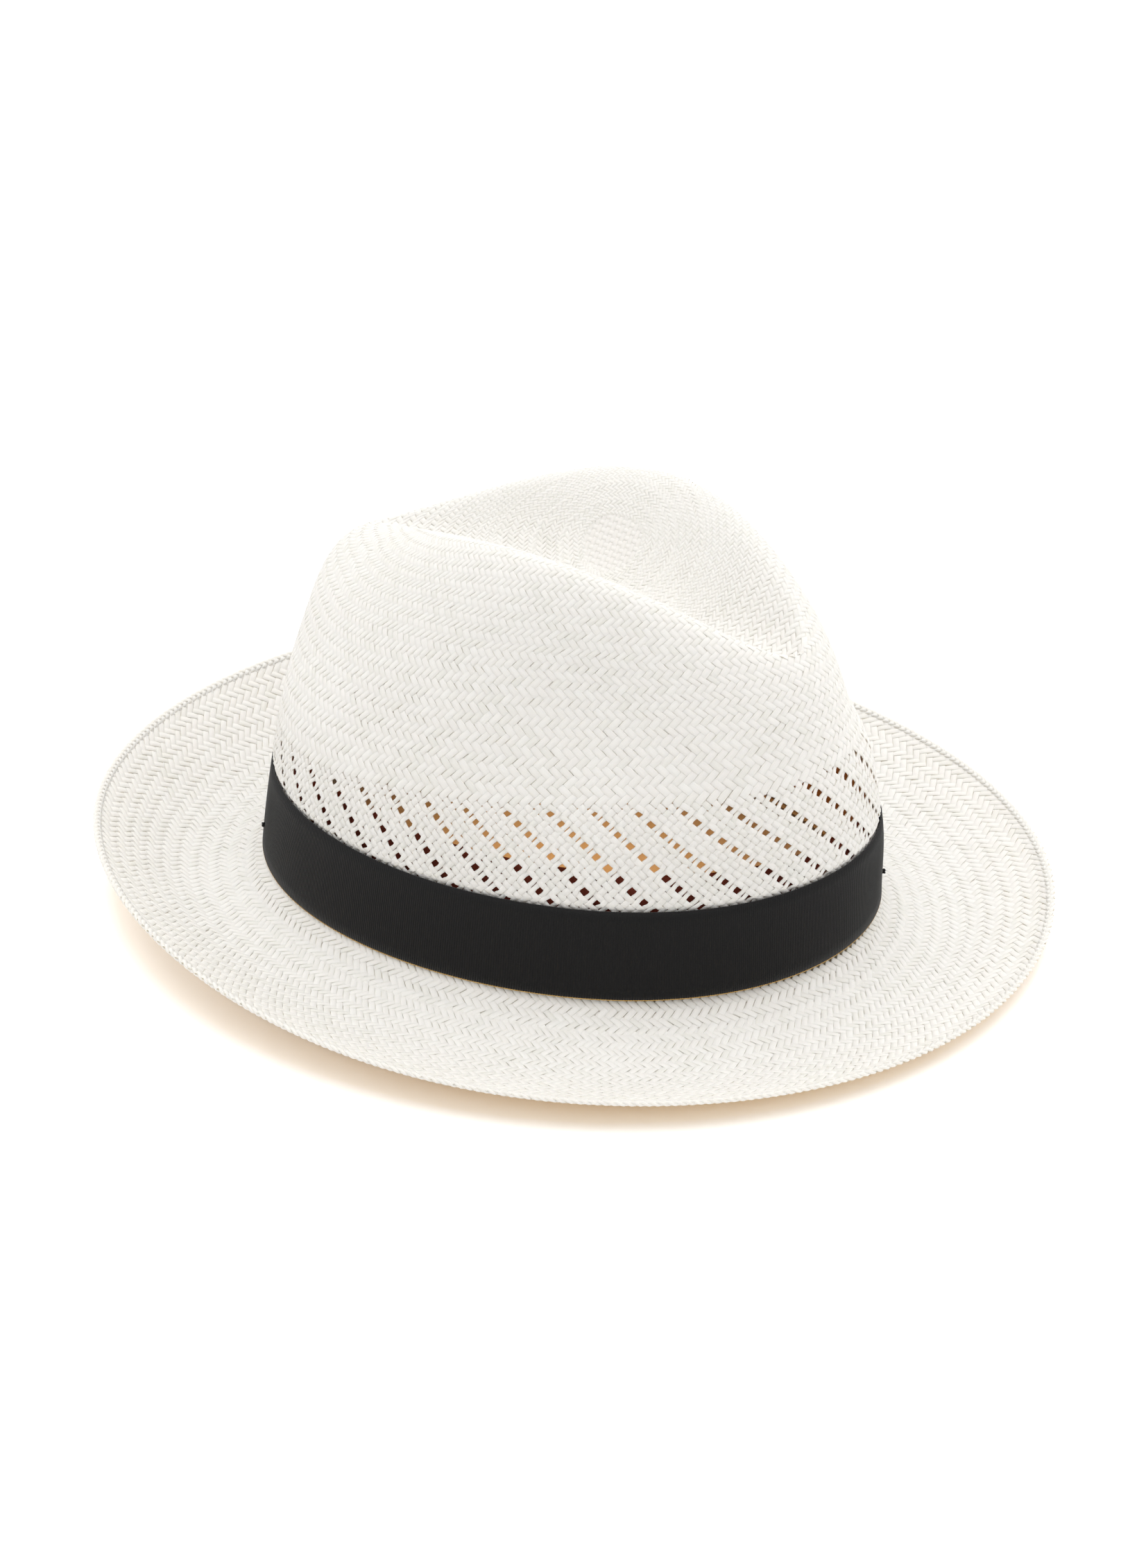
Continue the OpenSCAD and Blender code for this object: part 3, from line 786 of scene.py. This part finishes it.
BRIM_ZONES = (
    # low share, high share, strands, rows, widest strand, lift, half thickness, rows tucked in at each end
    (0.0, 0.2, 208, 8, 2.3, 0.24, 0.21, (0, 1)),
    (0.2, 1.0, 272, 32, 2.6, 0.22, 0.2, (1, 1)),
)
straw_brim = []
for zone, (low, high, count, rows, widest, lift, half_thick, over) in enumerate(BRIM_ZONES):
    surface = brim_zone(low, high, rows)
    for rising in (True, False):
        family = "rising" if rising else "falling"
        for half, part in enumerate(HALVES if zone else ((0, 1),)):
            straw_brim.append(
                woven(f"straw_brim_{zone + 1}_{family}_{half + 1}", surface, count, 0, rows, rising, STRAW,
                      seed=51 + zone + 3 * half + 7 * rising, part=part, widest=widest, fill=1.03,
                      lift=lift, half_thick=half_thick, over=over, samples=2)
            )


BORDER_GIRTH, PLAIT_WAVE, PLAIT_SAMPLES, PLAIT_INSET = 963.0, 7.8, 14, 1.5
# How far a strand of the plait swings out and up, and also its half width and half thickness
PLAIT_OUT, PLAIT_UP = 0.72, 0.42
PLAIT_TINTS = (0.35, 0.6, 0.85)


def braided_border():
    """The plaited edge: three flat strands that cross over each other."""
    waves = int(BORDER_GIRTH / PLAIT_WAVE)
    samples = waves * PLAIT_SAMPLES
    turn = np.arange(samples) / samples
    t = even_turns(edge_oval, turn)
    near = even_turns(base_oval, turn)
    edge = brim_point(near, t, np.ones_like(t))
    inner = brim_point(near, t, np.full_like(t, 0.9))
    out = unit(edge - inner)
    run = unit(np.roll(edge, -1, 0) - np.roll(edge, 1, 0))
    up = unit(np.cross(out, run))
    up = np.where(up[:, 2:] < 0, -up, up)
    middle = edge - out * PLAIT_INSET - up * STRAW_THICK / 2
    made = []
    for k in range(3):
        a = turn * waves * TAU + TAU * k / 3
        centre = middle + out * (PLAIT_OUT * np.sin(a))[:, None] + up * (PLAIT_UP * np.sin(2 * a))[:, None]
        tangent = unit(np.roll(centre, -1, 0) - np.roll(centre, 1, 0))
        side = unit(np.cross(tangent, up))
        face = unit(np.cross(side, tangent))
        rows = []
        for across, thick in WIDE_SECTION:
            rows.append(centre + side * across * PLAIT_OUT + face * thick * PLAIT_UP)
        made.append(np.stack(rows, 1))
    points = np.stack(made)
    tints = np.broadcast_to(np.array(PLAIT_TINTS)[:, None, None], points.shape[:3])
    piece = mesh_object("straw_border", points, strand_faces(points, closed=True), STRAW, tints)
    return piece


border = braided_border()
for piece in straw_crown:
    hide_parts("straw_crown")
for piece in straw_brim:
    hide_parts("straw_brim")
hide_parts("brim_border")

# The ribbon and its bow

RIB_PITCH = 0.75
RIB_DEPTH = 0.17
RIB_STEPS = (0.0, 0.75, 1.0, 0.75)


def ribs(count):
    """How far out each column of a run of ribs stands; their tops are at 0."""
    return np.tile(np.array(RIB_STEPS), count) * RIB_DEPTH - RIB_DEPTH


SECTION_STEPS = 9


def ribbon_section():
    """Heights from 0 to 1 and depths from 0 to 1 round a ribbon's section, outer face first."""
    up = np.linspace(0, 1, SECTION_STEPS)
    return np.concatenate([up, up[::-1]]), np.concatenate([0 * up, 0 * up + 1])


def ribbed_strip(name, node, place, rib_count, closed):
    """A ribbon with ribs: place gives a point for along 0 to 1, up 0 to 1 and depth below the face."""
    columns = rib_count * len(RIB_STEPS)
    along = np.arange(columns) / columns if closed else np.linspace(0, 1, columns)
    up, deep = ribbon_section()
    raised = ribs(rib_count)[:, None] * np.sin(math.pi * np.clip(up, 0.02, 0.98)) ** 0.15
    depth = deep * RIBBON_THICK - raised * (1 - deep) + raised * deep
    points = place(along[:, None] + 0 * up, up[None, :] + 0 * along[:, None], depth)
    faces = grid_faces(points.shape[0], points.shape[1], closed_rows=closed)
    piece = mesh_object(name, points, faces, RIBBON)
    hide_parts(node)


def band_place(along, up, depth):
    return band_point(along * TAU, RIBBON_WIDTH * up, -depth)


BAND_GIRTH = 604
ribbed_strip("ribbon_band_woven", "ribbon_band", band_place, int(BAND_GIRTH / RIB_PITCH), True)

# The thin tan tube under the ribbon's lower edge is painted shade: it stands in for the warm shade where
# the ribbon meets the straw.
SHADE_LINE_SAMPLES, SHADE_LINE_CORNERS, SHADE_LINE_RADIUS = 1500, 6, 0.24
# The line's middle, from the ribbon's lower edge and from its face
SHADE_LINE_UP, SHADE_LINE_OUT = -0.12, -0.25
SHADE_LINE_WAVE, SHADE_LINE_WAVES = 0.05, 375


def shade_line_points():
    """A thin tan tube just under the ribbon's lower edge: painted warm shade where the ribbon meets the
    straw.
    """
    t = np.arange(SHADE_LINE_SAMPLES) / SHADE_LINE_SAMPLES * TAU
    wave = SHADE_LINE_WAVE * np.sin(t * SHADE_LINE_WAVES)
    rows = []
    for k in range(SHADE_LINE_CORNERS):
        a = TAU * k / SHADE_LINE_CORNERS
        h = SHADE_LINE_UP + wave + SHADE_LINE_RADIUS * math.sin(a)
        rows.append(band_point(t, h, SHADE_LINE_OUT + SHADE_LINE_RADIUS * math.cos(a)))
    return np.stack(rows, 1)


shade_line_faces = grid_faces(SHADE_LINE_SAMPLES, SHADE_LINE_CORNERS, closed_rows=True)
painted_shade_line = mesh_object("ribbon_edge_line", shade_line_points(), shade_line_faces, PAINTED_SHADE_LINE)


# The loops' share of the ribbon's width under the wrap, and what they gain within a reach beside it
PULLED_WIDTH, PULLED_GAIN, PULLED_REACH = 0.66, 0.34, BOW_LENGTH * 0.22


def bow_half(along):
    """Half the loops' height, which the wrap pulls in at the middle."""
    pulled = np.clip((np.abs(along) - KNOT_HALF) / PULLED_REACH, 0, 1) ** 0.8
    return RIBBON_WIDTH / 2 * (PULLED_WIDTH + PULLED_GAIN * pulled)


TAIL_UNDER = FIT_GAP
LOOP_UNDER = TAIL_UNDER + RIBBON_THICK + FIT_GAP
LOOP_TURN = RIBBON_THICK + 0.6
LOOP_GAP = 1.2
# The tail starts under the wrap and ends on a slant
TAIL_START, TAIL_SLANT, TAIL_MARGIN = 6, 6, 0.4


def loop_rise(along):
    """How far out the loops' upper run lies."""
    share = np.clip((np.abs(along) - KNOT_HALF) / (BOW_LENGTH / 2 - KNOT_HALF), 0, 1)
    return LOOP_UNDER + RIBBON_THICK + LOOP_GAP + BOW_PUFF * np.sin(math.pi * share**0.75) ** 0.9


def tail_place(along, up, depth):
    low = TAIL_START + (TAIL_END - TAIL_START) * along
    high = TAIL_START + (TAIL_END - TAIL_START - TAIL_SLANT) * along
    half = RIBBON_WIDTH / 2 - TAIL_MARGIN
    x = low + (high - low) * up
    return bow_point(x, RIBBON_WIDTH / 2 + half * (2 * up - 1), TAIL_UNDER + RIBBON_THICK - depth)


def loop_path():
    """The loops' closed path, along the band and out from it, and how far along it each point lies."""
    end = BOW_LENGTH / 2
    s = np.linspace(-(end - LOOP_TURN), end - LOOP_TURN, 161)
    upper = np.stack([s, loop_rise(s)], 1)
    lay = LOOP_UNDER + RIBBON_THICK / 2
    top = float(loop_rise(end - LOOP_TURN))
    angles = np.linspace(math.pi / 2, -math.pi / 2, 9)[1:-1]
    back_x = end - LOOP_TURN + LOOP_TURN * np.cos(angles)
    back = np.stack([back_x, (top + lay) / 2 + (top - lay) / 2 * np.sin(angles)], 1)
    lower = np.stack([s[::-1], np.full(len(s), lay)], 1)
    front = np.stack([-back[::-1, 0], back[::-1, 1]], 1)
    path = np.concatenate([upper, back, lower, front, upper[:1]])
    return path, walked(path)


LOOP_PATH, LOOP_FAR = loop_path()
# The folds beside the wrap: how deep, how many across the ribbon and how far they run
FOLD_DEPTH, FOLD_COUNT, FOLD_REACH = 0.35, 2.5, 9


def loop_spot(far):
    """Where the loops' path is at a distance along it: along the band, and out from it."""
    far = far % LOOP_FAR[-1]
    return [np.interp(far, LOOP_FAR, LOOP_PATH[:, k]) for k in range(2)]


def loops_place(along, up, depth):
    far = along * LOOP_FAR[-1]
    step = 0.6
    x, off = loop_spot(far)
    x_after, off_after = loop_spot(far + step)
    x_before, off_before = loop_spot(far - step)
    dx, do = x_after - x_before, off_after - off_before
    size = np.maximum(np.hypot(dx, do), 1e-6)
    nx, no = -do / size, dx / size
    h = RIBBON_WIDTH / 2 + bow_half(x) * (2 * up - 1)
    beyond = np.abs(x) - KNOT_HALF
    fold = FOLD_DEPTH * np.sin(up * TAU * FOLD_COUNT) * np.exp(-((beyond / FOLD_REACH) ** 2)) * (beyond > 0)
    fold = fold * (off > LOOP_UNDER + LOOP_GAP)
    away = RIBBON_THICK / 2 - depth + fold
    return bow_point(x + nx * away, h, off + no * away)


WRAP_TOP = float(loop_rise(0)) + RIBBON_THICK / 2 + 2 * FIT_GAP
WRAP_MARGIN, WRAP_LENGTH = 1.2, 34


def wrap_place(along, up, depth):
    a = math.pi * along
    h = RIBBON_WIDTH / 2 - (RIBBON_WIDTH / 2 - WRAP_MARGIN) * np.cos(a)
    low = TAIL_UNDER + (WRAP_TOP - TAIL_UNDER) * np.sin(a) ** 0.2
    return bow_point(WRAP_HALF * (2 * up - 1), h, low + RIBBON_THICK - depth)


ribbed_strip("bow_tail_woven", "bow_tail", tail_place, int((TAIL_END - TAIL_START) / RIB_PITCH), False)
ribbed_strip("bow_loops_woven", "bow_loops", loops_place, int(LOOP_FAR[-1] / RIB_PITCH), True)
ribbed_strip("bow_wrap_woven", "bow_wrap", wrap_place, int(WRAP_LENGTH / RIB_PITCH), False)

# Inside: the sweatband, its reed, tape, stitches and back bow


def lining(t, z, inward):
    """The point at height z that lies inward millimetres inside the straw's outer face."""
    return beside_wall(t, z, -np.asarray(inward))


LEATHER_COLUMNS, LEATHER_ROWS, LEATHER_EDGE = 720, 24, 0.25
# The leather is wavy from this height up
WAVY_FROM = 20


def leather_points():
    """Rows round the hat: up the leather's back, over its top edge and down its face."""
    t = np.arange(LEATHER_COLUMNS) / LEATHER_COLUMNS * TAU
    wave = 0.1 * np.sin(9 * t) + 0.07 * np.sin(17 * t + 1)
    levels = np.linspace(1, LEATHER_HEIGHT, LEATHER_ROWS)
    top = LEATHER_HEIGHT + LEATHER_EDGE
    path = [(z, LEATHER_IN) for z in levels]
    path += [(top, LEATHER_IN + LEATHER_EDGE), (top, LEATHER_IN + (LEATHER_THICK - LEATHER_EDGE))]
    path += [(z, LEATHER_IN + LEATHER_THICK) for z in levels[::-1]]
    rows = []
    for z, inward in path:
        depth = inward + wave * smooth((z - WAVY_FROM) / WAVY_FROM)
        rows.append(lining(t, np.full(LEATHER_COLUMNS, z), depth))
    return np.stack(rows, 0)


leather_faces = grid_faces(2 * LEATHER_ROWS + 2, LEATHER_COLUMNS, closed_rows=True)
leather = mesh_object("sweatband_leather", leather_points(), leather_faces, LEATHER_BACK)
leather.data.materials.append(LEATHER)
side_index = np.zeros(len(leather.data.polygons), dtype=np.int32)
side_index[LEATHER_COLUMNS * (LEATHER_ROWS + 1) :] = 1
leather.data.polygons.foreach_set("material_index", side_index)
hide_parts("sweatband")


def ring_tube(name, node, material, samples, section, place):
    """A closed tube round the hat: place gives the points of one corner of its section."""
    t = np.arange(samples) / samples * TAU
    points = np.stack([place(t, *corner) for corner in section], 1)
    piece = mesh_object(name, points, grid_faces(samples, len(section), closed_rows=True), material)
    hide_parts(node)


def reed_place(t, across, up):
    inward = LEATHER_IN + LEATHER_THICK / 2 - REED_RADIUS * across
    return lining(t, -REED_RADIUS + REED_RADIUS * up, inward)


def tape_place(t, z, deep):
    weave = 0.03 * np.sin(t * 360)
    return lining(t, np.full_like(t, z), STRAW_THICK + FIT_GAP + deep + weave)


circle = [(math.cos(TAU * k / 8), math.sin(TAU * k / 8)) for k in range(8)]
ring_tube("reed_cord", "sweatband_reed", TAPE, 360, circle, reed_place)
TAPE_LOW, TAPE_HIGH, TAPE_THICK, TAPE_STEPS = -1, 8, 0.4, 8
tape_section = [(z, 0.0) for z in np.linspace(TAPE_LOW, TAPE_HIGH, TAPE_STEPS)]
tape_section += [(z, TAPE_THICK) for z in np.linspace(TAPE_HIGH, TAPE_LOW, TAPE_STEPS)]
ring_tube("reed_tape_woven", "reed_tape", TAPE, 720, tape_section, tape_place)

STITCH_COUNT, STITCH_LEVEL, STITCH_LENGTH, STITCH_SLANT = 176, 4.0, 2.3, 0.5
STITCH_HALF_WIDTH, STITCH_HALF_THICK, STITCH_BEND, STITCH_SAMPLES = 0.19, 0.17, 0.18, 9
LEATHER_GIRTH = 560.0


def stitches(name, node):
    """A row of separate stitches round the leather's lower edge."""
    share = np.linspace(0, 1, STITCH_SAMPLES)
    middle = (np.arange(STITCH_COUNT) + 0.5) / STITCH_COUNT * TAU
    t = middle[:, None] + (share[None, :] - 0.5) * STITCH_LENGTH / LEATHER_GIRTH * TAU
    height = np.full_like(t, STITCH_LEVEL) + STITCH_SLANT * (share[None, :] - 0.5)
    bend = LEATHER_IN + LEATHER_THICK + STITCH_BEND * np.sin(math.pi * share)[None, :] ** 0.5
    centre = lining(t, height, bend)
    points = strand_points(centre, -outward(t), np.full(t.shape, STITCH_HALF_WIDTH), STITCH_HALF_THICK)
    piece = mesh_object(name, points, strand_faces(points), THREAD)
    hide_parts(node)


stitches("sweatband_stitches", "sweatband_thread")

BACK_BOW_COLUMNS, BACK_BOW_CORNERS = 61, 12
BACK_BOW_LEVEL, BACK_BOW_SPREAD = 16, math.radians(7)


def back_bow():
    """A small flat bow of narrow ribbon on the leather at the back."""
    k = np.linspace(-1, 1, BACK_BOW_COLUMNS)[:, None]
    a = np.linspace(0, TAU, BACK_BOW_CORNERS, endpoint=False)[None, :]
    half = 1.6 + 2.2 * np.abs(k) ** 0.7
    puff = 0.7 + 1.1 * np.sin(math.pi * np.abs(k)) ** 2
    t = math.pi + BACK_BOW_SPREAD * k + 0 * a
    near = LEATHER_IN + LEATHER_THICK + FIT_GAP
    inward = near + puff * (0.5 + 0.5 * np.sin(a)) + 0 * k
    return lining(t, BACK_BOW_LEVEL + half * np.cos(a), inward)


back_bow_faces = grid_faces(BACK_BOW_COLUMNS, BACK_BOW_CORNERS)
bow_back = mesh_object("sweatband_bow_ribbon", back_bow(), back_bow_faces, RIBBON)
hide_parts("sweatband_bow")

TACK_TURNS = (26, 125, 215)
TACK_LEVEL, TACK_RADIUS = 8.0, 0.95
LOOP_TACK_RADIUS, LOOP_TACK_INSET = 0.55, 5.0
# How far a knot's middle stands off the ribbon, as a share of its radius: its back is pulled into the cloth
KNOT_STAND = 0.45
# A knot's thread, as a share of its radius
KNOT_THREAD, KNOT_SAMPLES = 0.26, 72


def knot_points(middle, out, radius):
    """A small thread knot: a tube of thread tied round itself, about radius in size."""
    a = np.arange(KNOT_SAMPLES) / KNOT_SAMPLES * TAU
    thread = radius * KNOT_THREAD
    ring = 2 + np.cos(3 * a)
    curl = np.stack([ring * np.cos(2 * a), ring * np.sin(2 * a), 1.4 * np.sin(3 * a)], 1)
    curl *= (radius - thread) / 3
    side = unit(np.cross(out, [0.0, 0.0, 1.0]))
    up = np.cross(side, out)
    line = middle + curl[:, :1] * side + curl[:, 1:2] * up + curl[:, 2:] * out
    run = unit(np.roll(line, -1, 0) - np.roll(line, 1, 0))
    across = unit(np.cross(run, np.array([0.31, 0.52, 0.79])))
    square = np.cross(run, across)
    return np.stack([line + thread * (c * across + s * square) for c, s in circle], 1)


def knots(name, node, places_on_band, radius):
    """Knots at points on the band, each given as its middle and the direction that it faces."""
    points = np.stack([knot_points(middle, out, radius) for middle, out in places_on_band])
    piece = mesh_object(name, points, strand_faces(points, closed=True), TACK)
    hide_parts(node)


def band_tack(turn):
    t = np.array(math.radians(turn))
    return band_point(t, TACK_LEVEL, KNOT_STAND * TACK_RADIUS), outward(t)


def loop_tack(along):
    off = loop_rise(along) + RIBBON_THICK / 2 + KNOT_STAND * LOOP_TACK_RADIUS
    return bow_point(along, RIBBON_WIDTH / 2, off), outward(np.array(BOW_TURN + along / BOW_RADIAN))


knots("band_tack_knots", "band_tacks", [band_tack(turn) for turn in TACK_TURNS], TACK_RADIUS)
LOOP_TACK_FAR = BOW_LENGTH / 2 - LOOP_TACK_INSET
loop_tacks = [loop_tack(far) for far in (-LOOP_TACK_FAR, LOOP_TACK_FAR)]
knots("bow_tack_knots", "bow_tacks", loop_tacks, LOOP_TACK_RADIUS)

# The camera, the table and the light

CAMERA_TURN, CAMERA_RISE, CAMERA_FAR = math.radians(-55.0), math.radians(28.197), 1.596534
CAMERA_ASIDE, CAMERA_UP = 0.000755, 0.026595
flat = math.cos(CAMERA_RISE)
right = Vector((math.cos(CAMERA_TURN), math.sin(CAMERA_TURN), 0))
ahead = Vector((-math.sin(CAMERA_TURN) * flat, math.cos(CAMERA_TURN) * flat, -math.sin(CAMERA_RISE)))
above = right.cross(ahead)
camera_data = bpy.data.cameras.new("camera")
camera_data.sensor_width = 36
camera_data.lens = 111.22
camera_data.dof.use_dof = False
camera_data.clip_end = 50
camera = bpy.data.objects.new("camera", camera_data)
camera_place = Matrix.Translation(-ahead * CAMERA_FAR + right * CAMERA_ASIDE + above * CAMERA_UP)
camera.matrix_world = camera_place @ Matrix((right, above, -ahead)).transposed().to_4x4()
bpy.context.scene.collection.objects.link(camera)
bpy.context.scene.camera = camera

floor_mesh = bpy.data.meshes.new("floor")
floor_level = cad_box[0].z
FLOOR = 12.0
floor_corners = [(x * FLOOR, y * FLOOR, floor_level) for x, y in ((-1, -1), (1, -1), (1, 1), (-1, 1))]
floor_mesh.from_pydata(floor_corners, [], [(0, 1, 2, 3)])
floor = bpy.data.objects.new("floor", floor_mesh)
bpy.context.scene.collection.objects.link(floor)
floor_material, floor_tree, floor_shader = new_material("floor")
set_inputs(floor_shader, {"Base Color": (0.95, 0.95, 0.95, 1), "Roughness": 0.9, "Specular IOR Level": 0.0})

# Painted light: the floor's material glows warm in a ring round the brim's edge, to lighten and warm the
# shade under it, though the floor is no lamp.
# The ring lies between two ovals, as shares of the brim's size.
GLOW_START, GLOW_END = 0.8, 1.3
floor_place = floor_tree.nodes.new("ShaderNodeTexCoord")
oval_place = floor_tree.nodes.new("ShaderNodeMapping")
oval_place.inputs["Scale"].default_value = (1 / (BRIM_HALF_WIDTH * MM), 1 / (BRIM_HALF_LENGTH * MM), 0)
oval_share = floor_tree.nodes.new("ShaderNodeVectorMath")
oval_share.operation = "LENGTH"
glow_share = floor_tree.nodes.new("ShaderNodeMapRange")
set_inputs(glow_share, {"From Min": GLOW_START, "From Max": GLOW_END})
floor_tree.links.new(floor_place.outputs["Object"], oval_place.inputs["Vector"])
floor_tree.links.new(oval_place.outputs["Vector"], oval_share.inputs[0])
floor_tree.links.new(oval_share.outputs["Value"], glow_share.inputs["Value"])
# Colours of the painted warm glow on the floor, from under the brim out past its edge
PAINTED_GLOW_STOPS = [
    (0.0, (0, 0, 0, 1)),
    (0.2, (0.15, 0.07, 0.0, 1)),
    (0.34, (0.18, 0.1, 0.02, 1)),
    (0.4, (0.22, 0.18, 0.13, 1)),
    (0.46, (0.23, 0.22, 0.21, 1)),
    (0.6, (0.16, 0.16, 0.16, 1)),
    (0.8, (0.06, 0.06, 0.06, 1)),
    (1.0, (0, 0, 0, 1)),
]
painted_floor_glow = ramp(floor_tree, glow_share.outputs["Result"], PAINTED_GLOW_STOPS)
floor_tree.links.new(painted_floor_glow.outputs["Color"], floor_shader.inputs["Emission Color"])
floor_shader.inputs["Emission Strength"].default_value = 1.0
floor_mesh.materials.append(floor_material)


def light(name, kind, energy, towards):
    """A new light that shines along a direction."""
    data = bpy.data.lights.new(name, kind)
    data.energy = energy
    made = bpy.data.objects.new(name, data)
    made.rotation_mode = "QUATERNION"
    made.rotation_quaternion = towards.to_track_quat("-Z", "Y")
    bpy.context.scene.collection.objects.link(made)
    return made


def softbox(name, place, aim, power, size, colour=(1, 1, 1)):
    """A square area light at a place, turned towards a point."""
    made = light(name, "AREA", power, Vector(aim) - Vector(place))
    made.data.size = size
    made.data.color = colour
    made.location = place
    made.visible_camera = False
    return made


# A broad even light from above
top = light("top", "SUN", 1.3, Vector((0, 0, -1)))
top.data.angle = math.radians(60)
level = Vector((ahead.x, ahead.y, 0)).normalized()
box_place = right * 0.75 + level * 0.1 + Vector((0, 0, 0.36))
softbox("right_box", box_place, (0, 0, 0.05), power=0.4, size=0.5)

# Light that the straw lets into the crown, made warm by the straw and the leather
WARM = (1.0, 0.5, 0.17)
glow = softbox("inside_glow", (0, 0, 0.055), (0, 0, 0), power=0.022, size=0.11, colour=WARM)
glow.data.spread = math.radians(110)

# The strength of the sky behind the camera and behind the hat
SKY_NEAR, SKY_FAR = 0.6, 1.42

world = bpy.data.worlds.new("world")
world.use_nodes = True
world_tree = world.node_tree
sky = world_tree.nodes["Background"]
sky.inputs["Color"].default_value = (1, 1, 1, 1)
seen = world_tree.nodes.new("ShaderNodeTexCoord")
facing = world_tree.nodes.new("ShaderNodeVectorMath")
facing.operation = "DOT_PRODUCT"
facing.inputs[1].default_value = level
world_tree.links.new(seen.outputs["Generated"], facing.inputs[0])
sky_range = world_tree.nodes.new("ShaderNodeMapRange")
set_inputs(sky_range, {"From Min": -1, "From Max": 1, "To Min": SKY_NEAR, "To Max": SKY_FAR})
world_tree.links.new(facing.outputs["Value"], sky_range.inputs["Value"])
world_tree.links.new(sky_range.outputs["Result"], sky.inputs["Strength"])
bpy.context.scene.world = world
bpy.context.scene.view_settings.view_transform = "Standard"
bpy.context.scene.view_settings.look = "None"
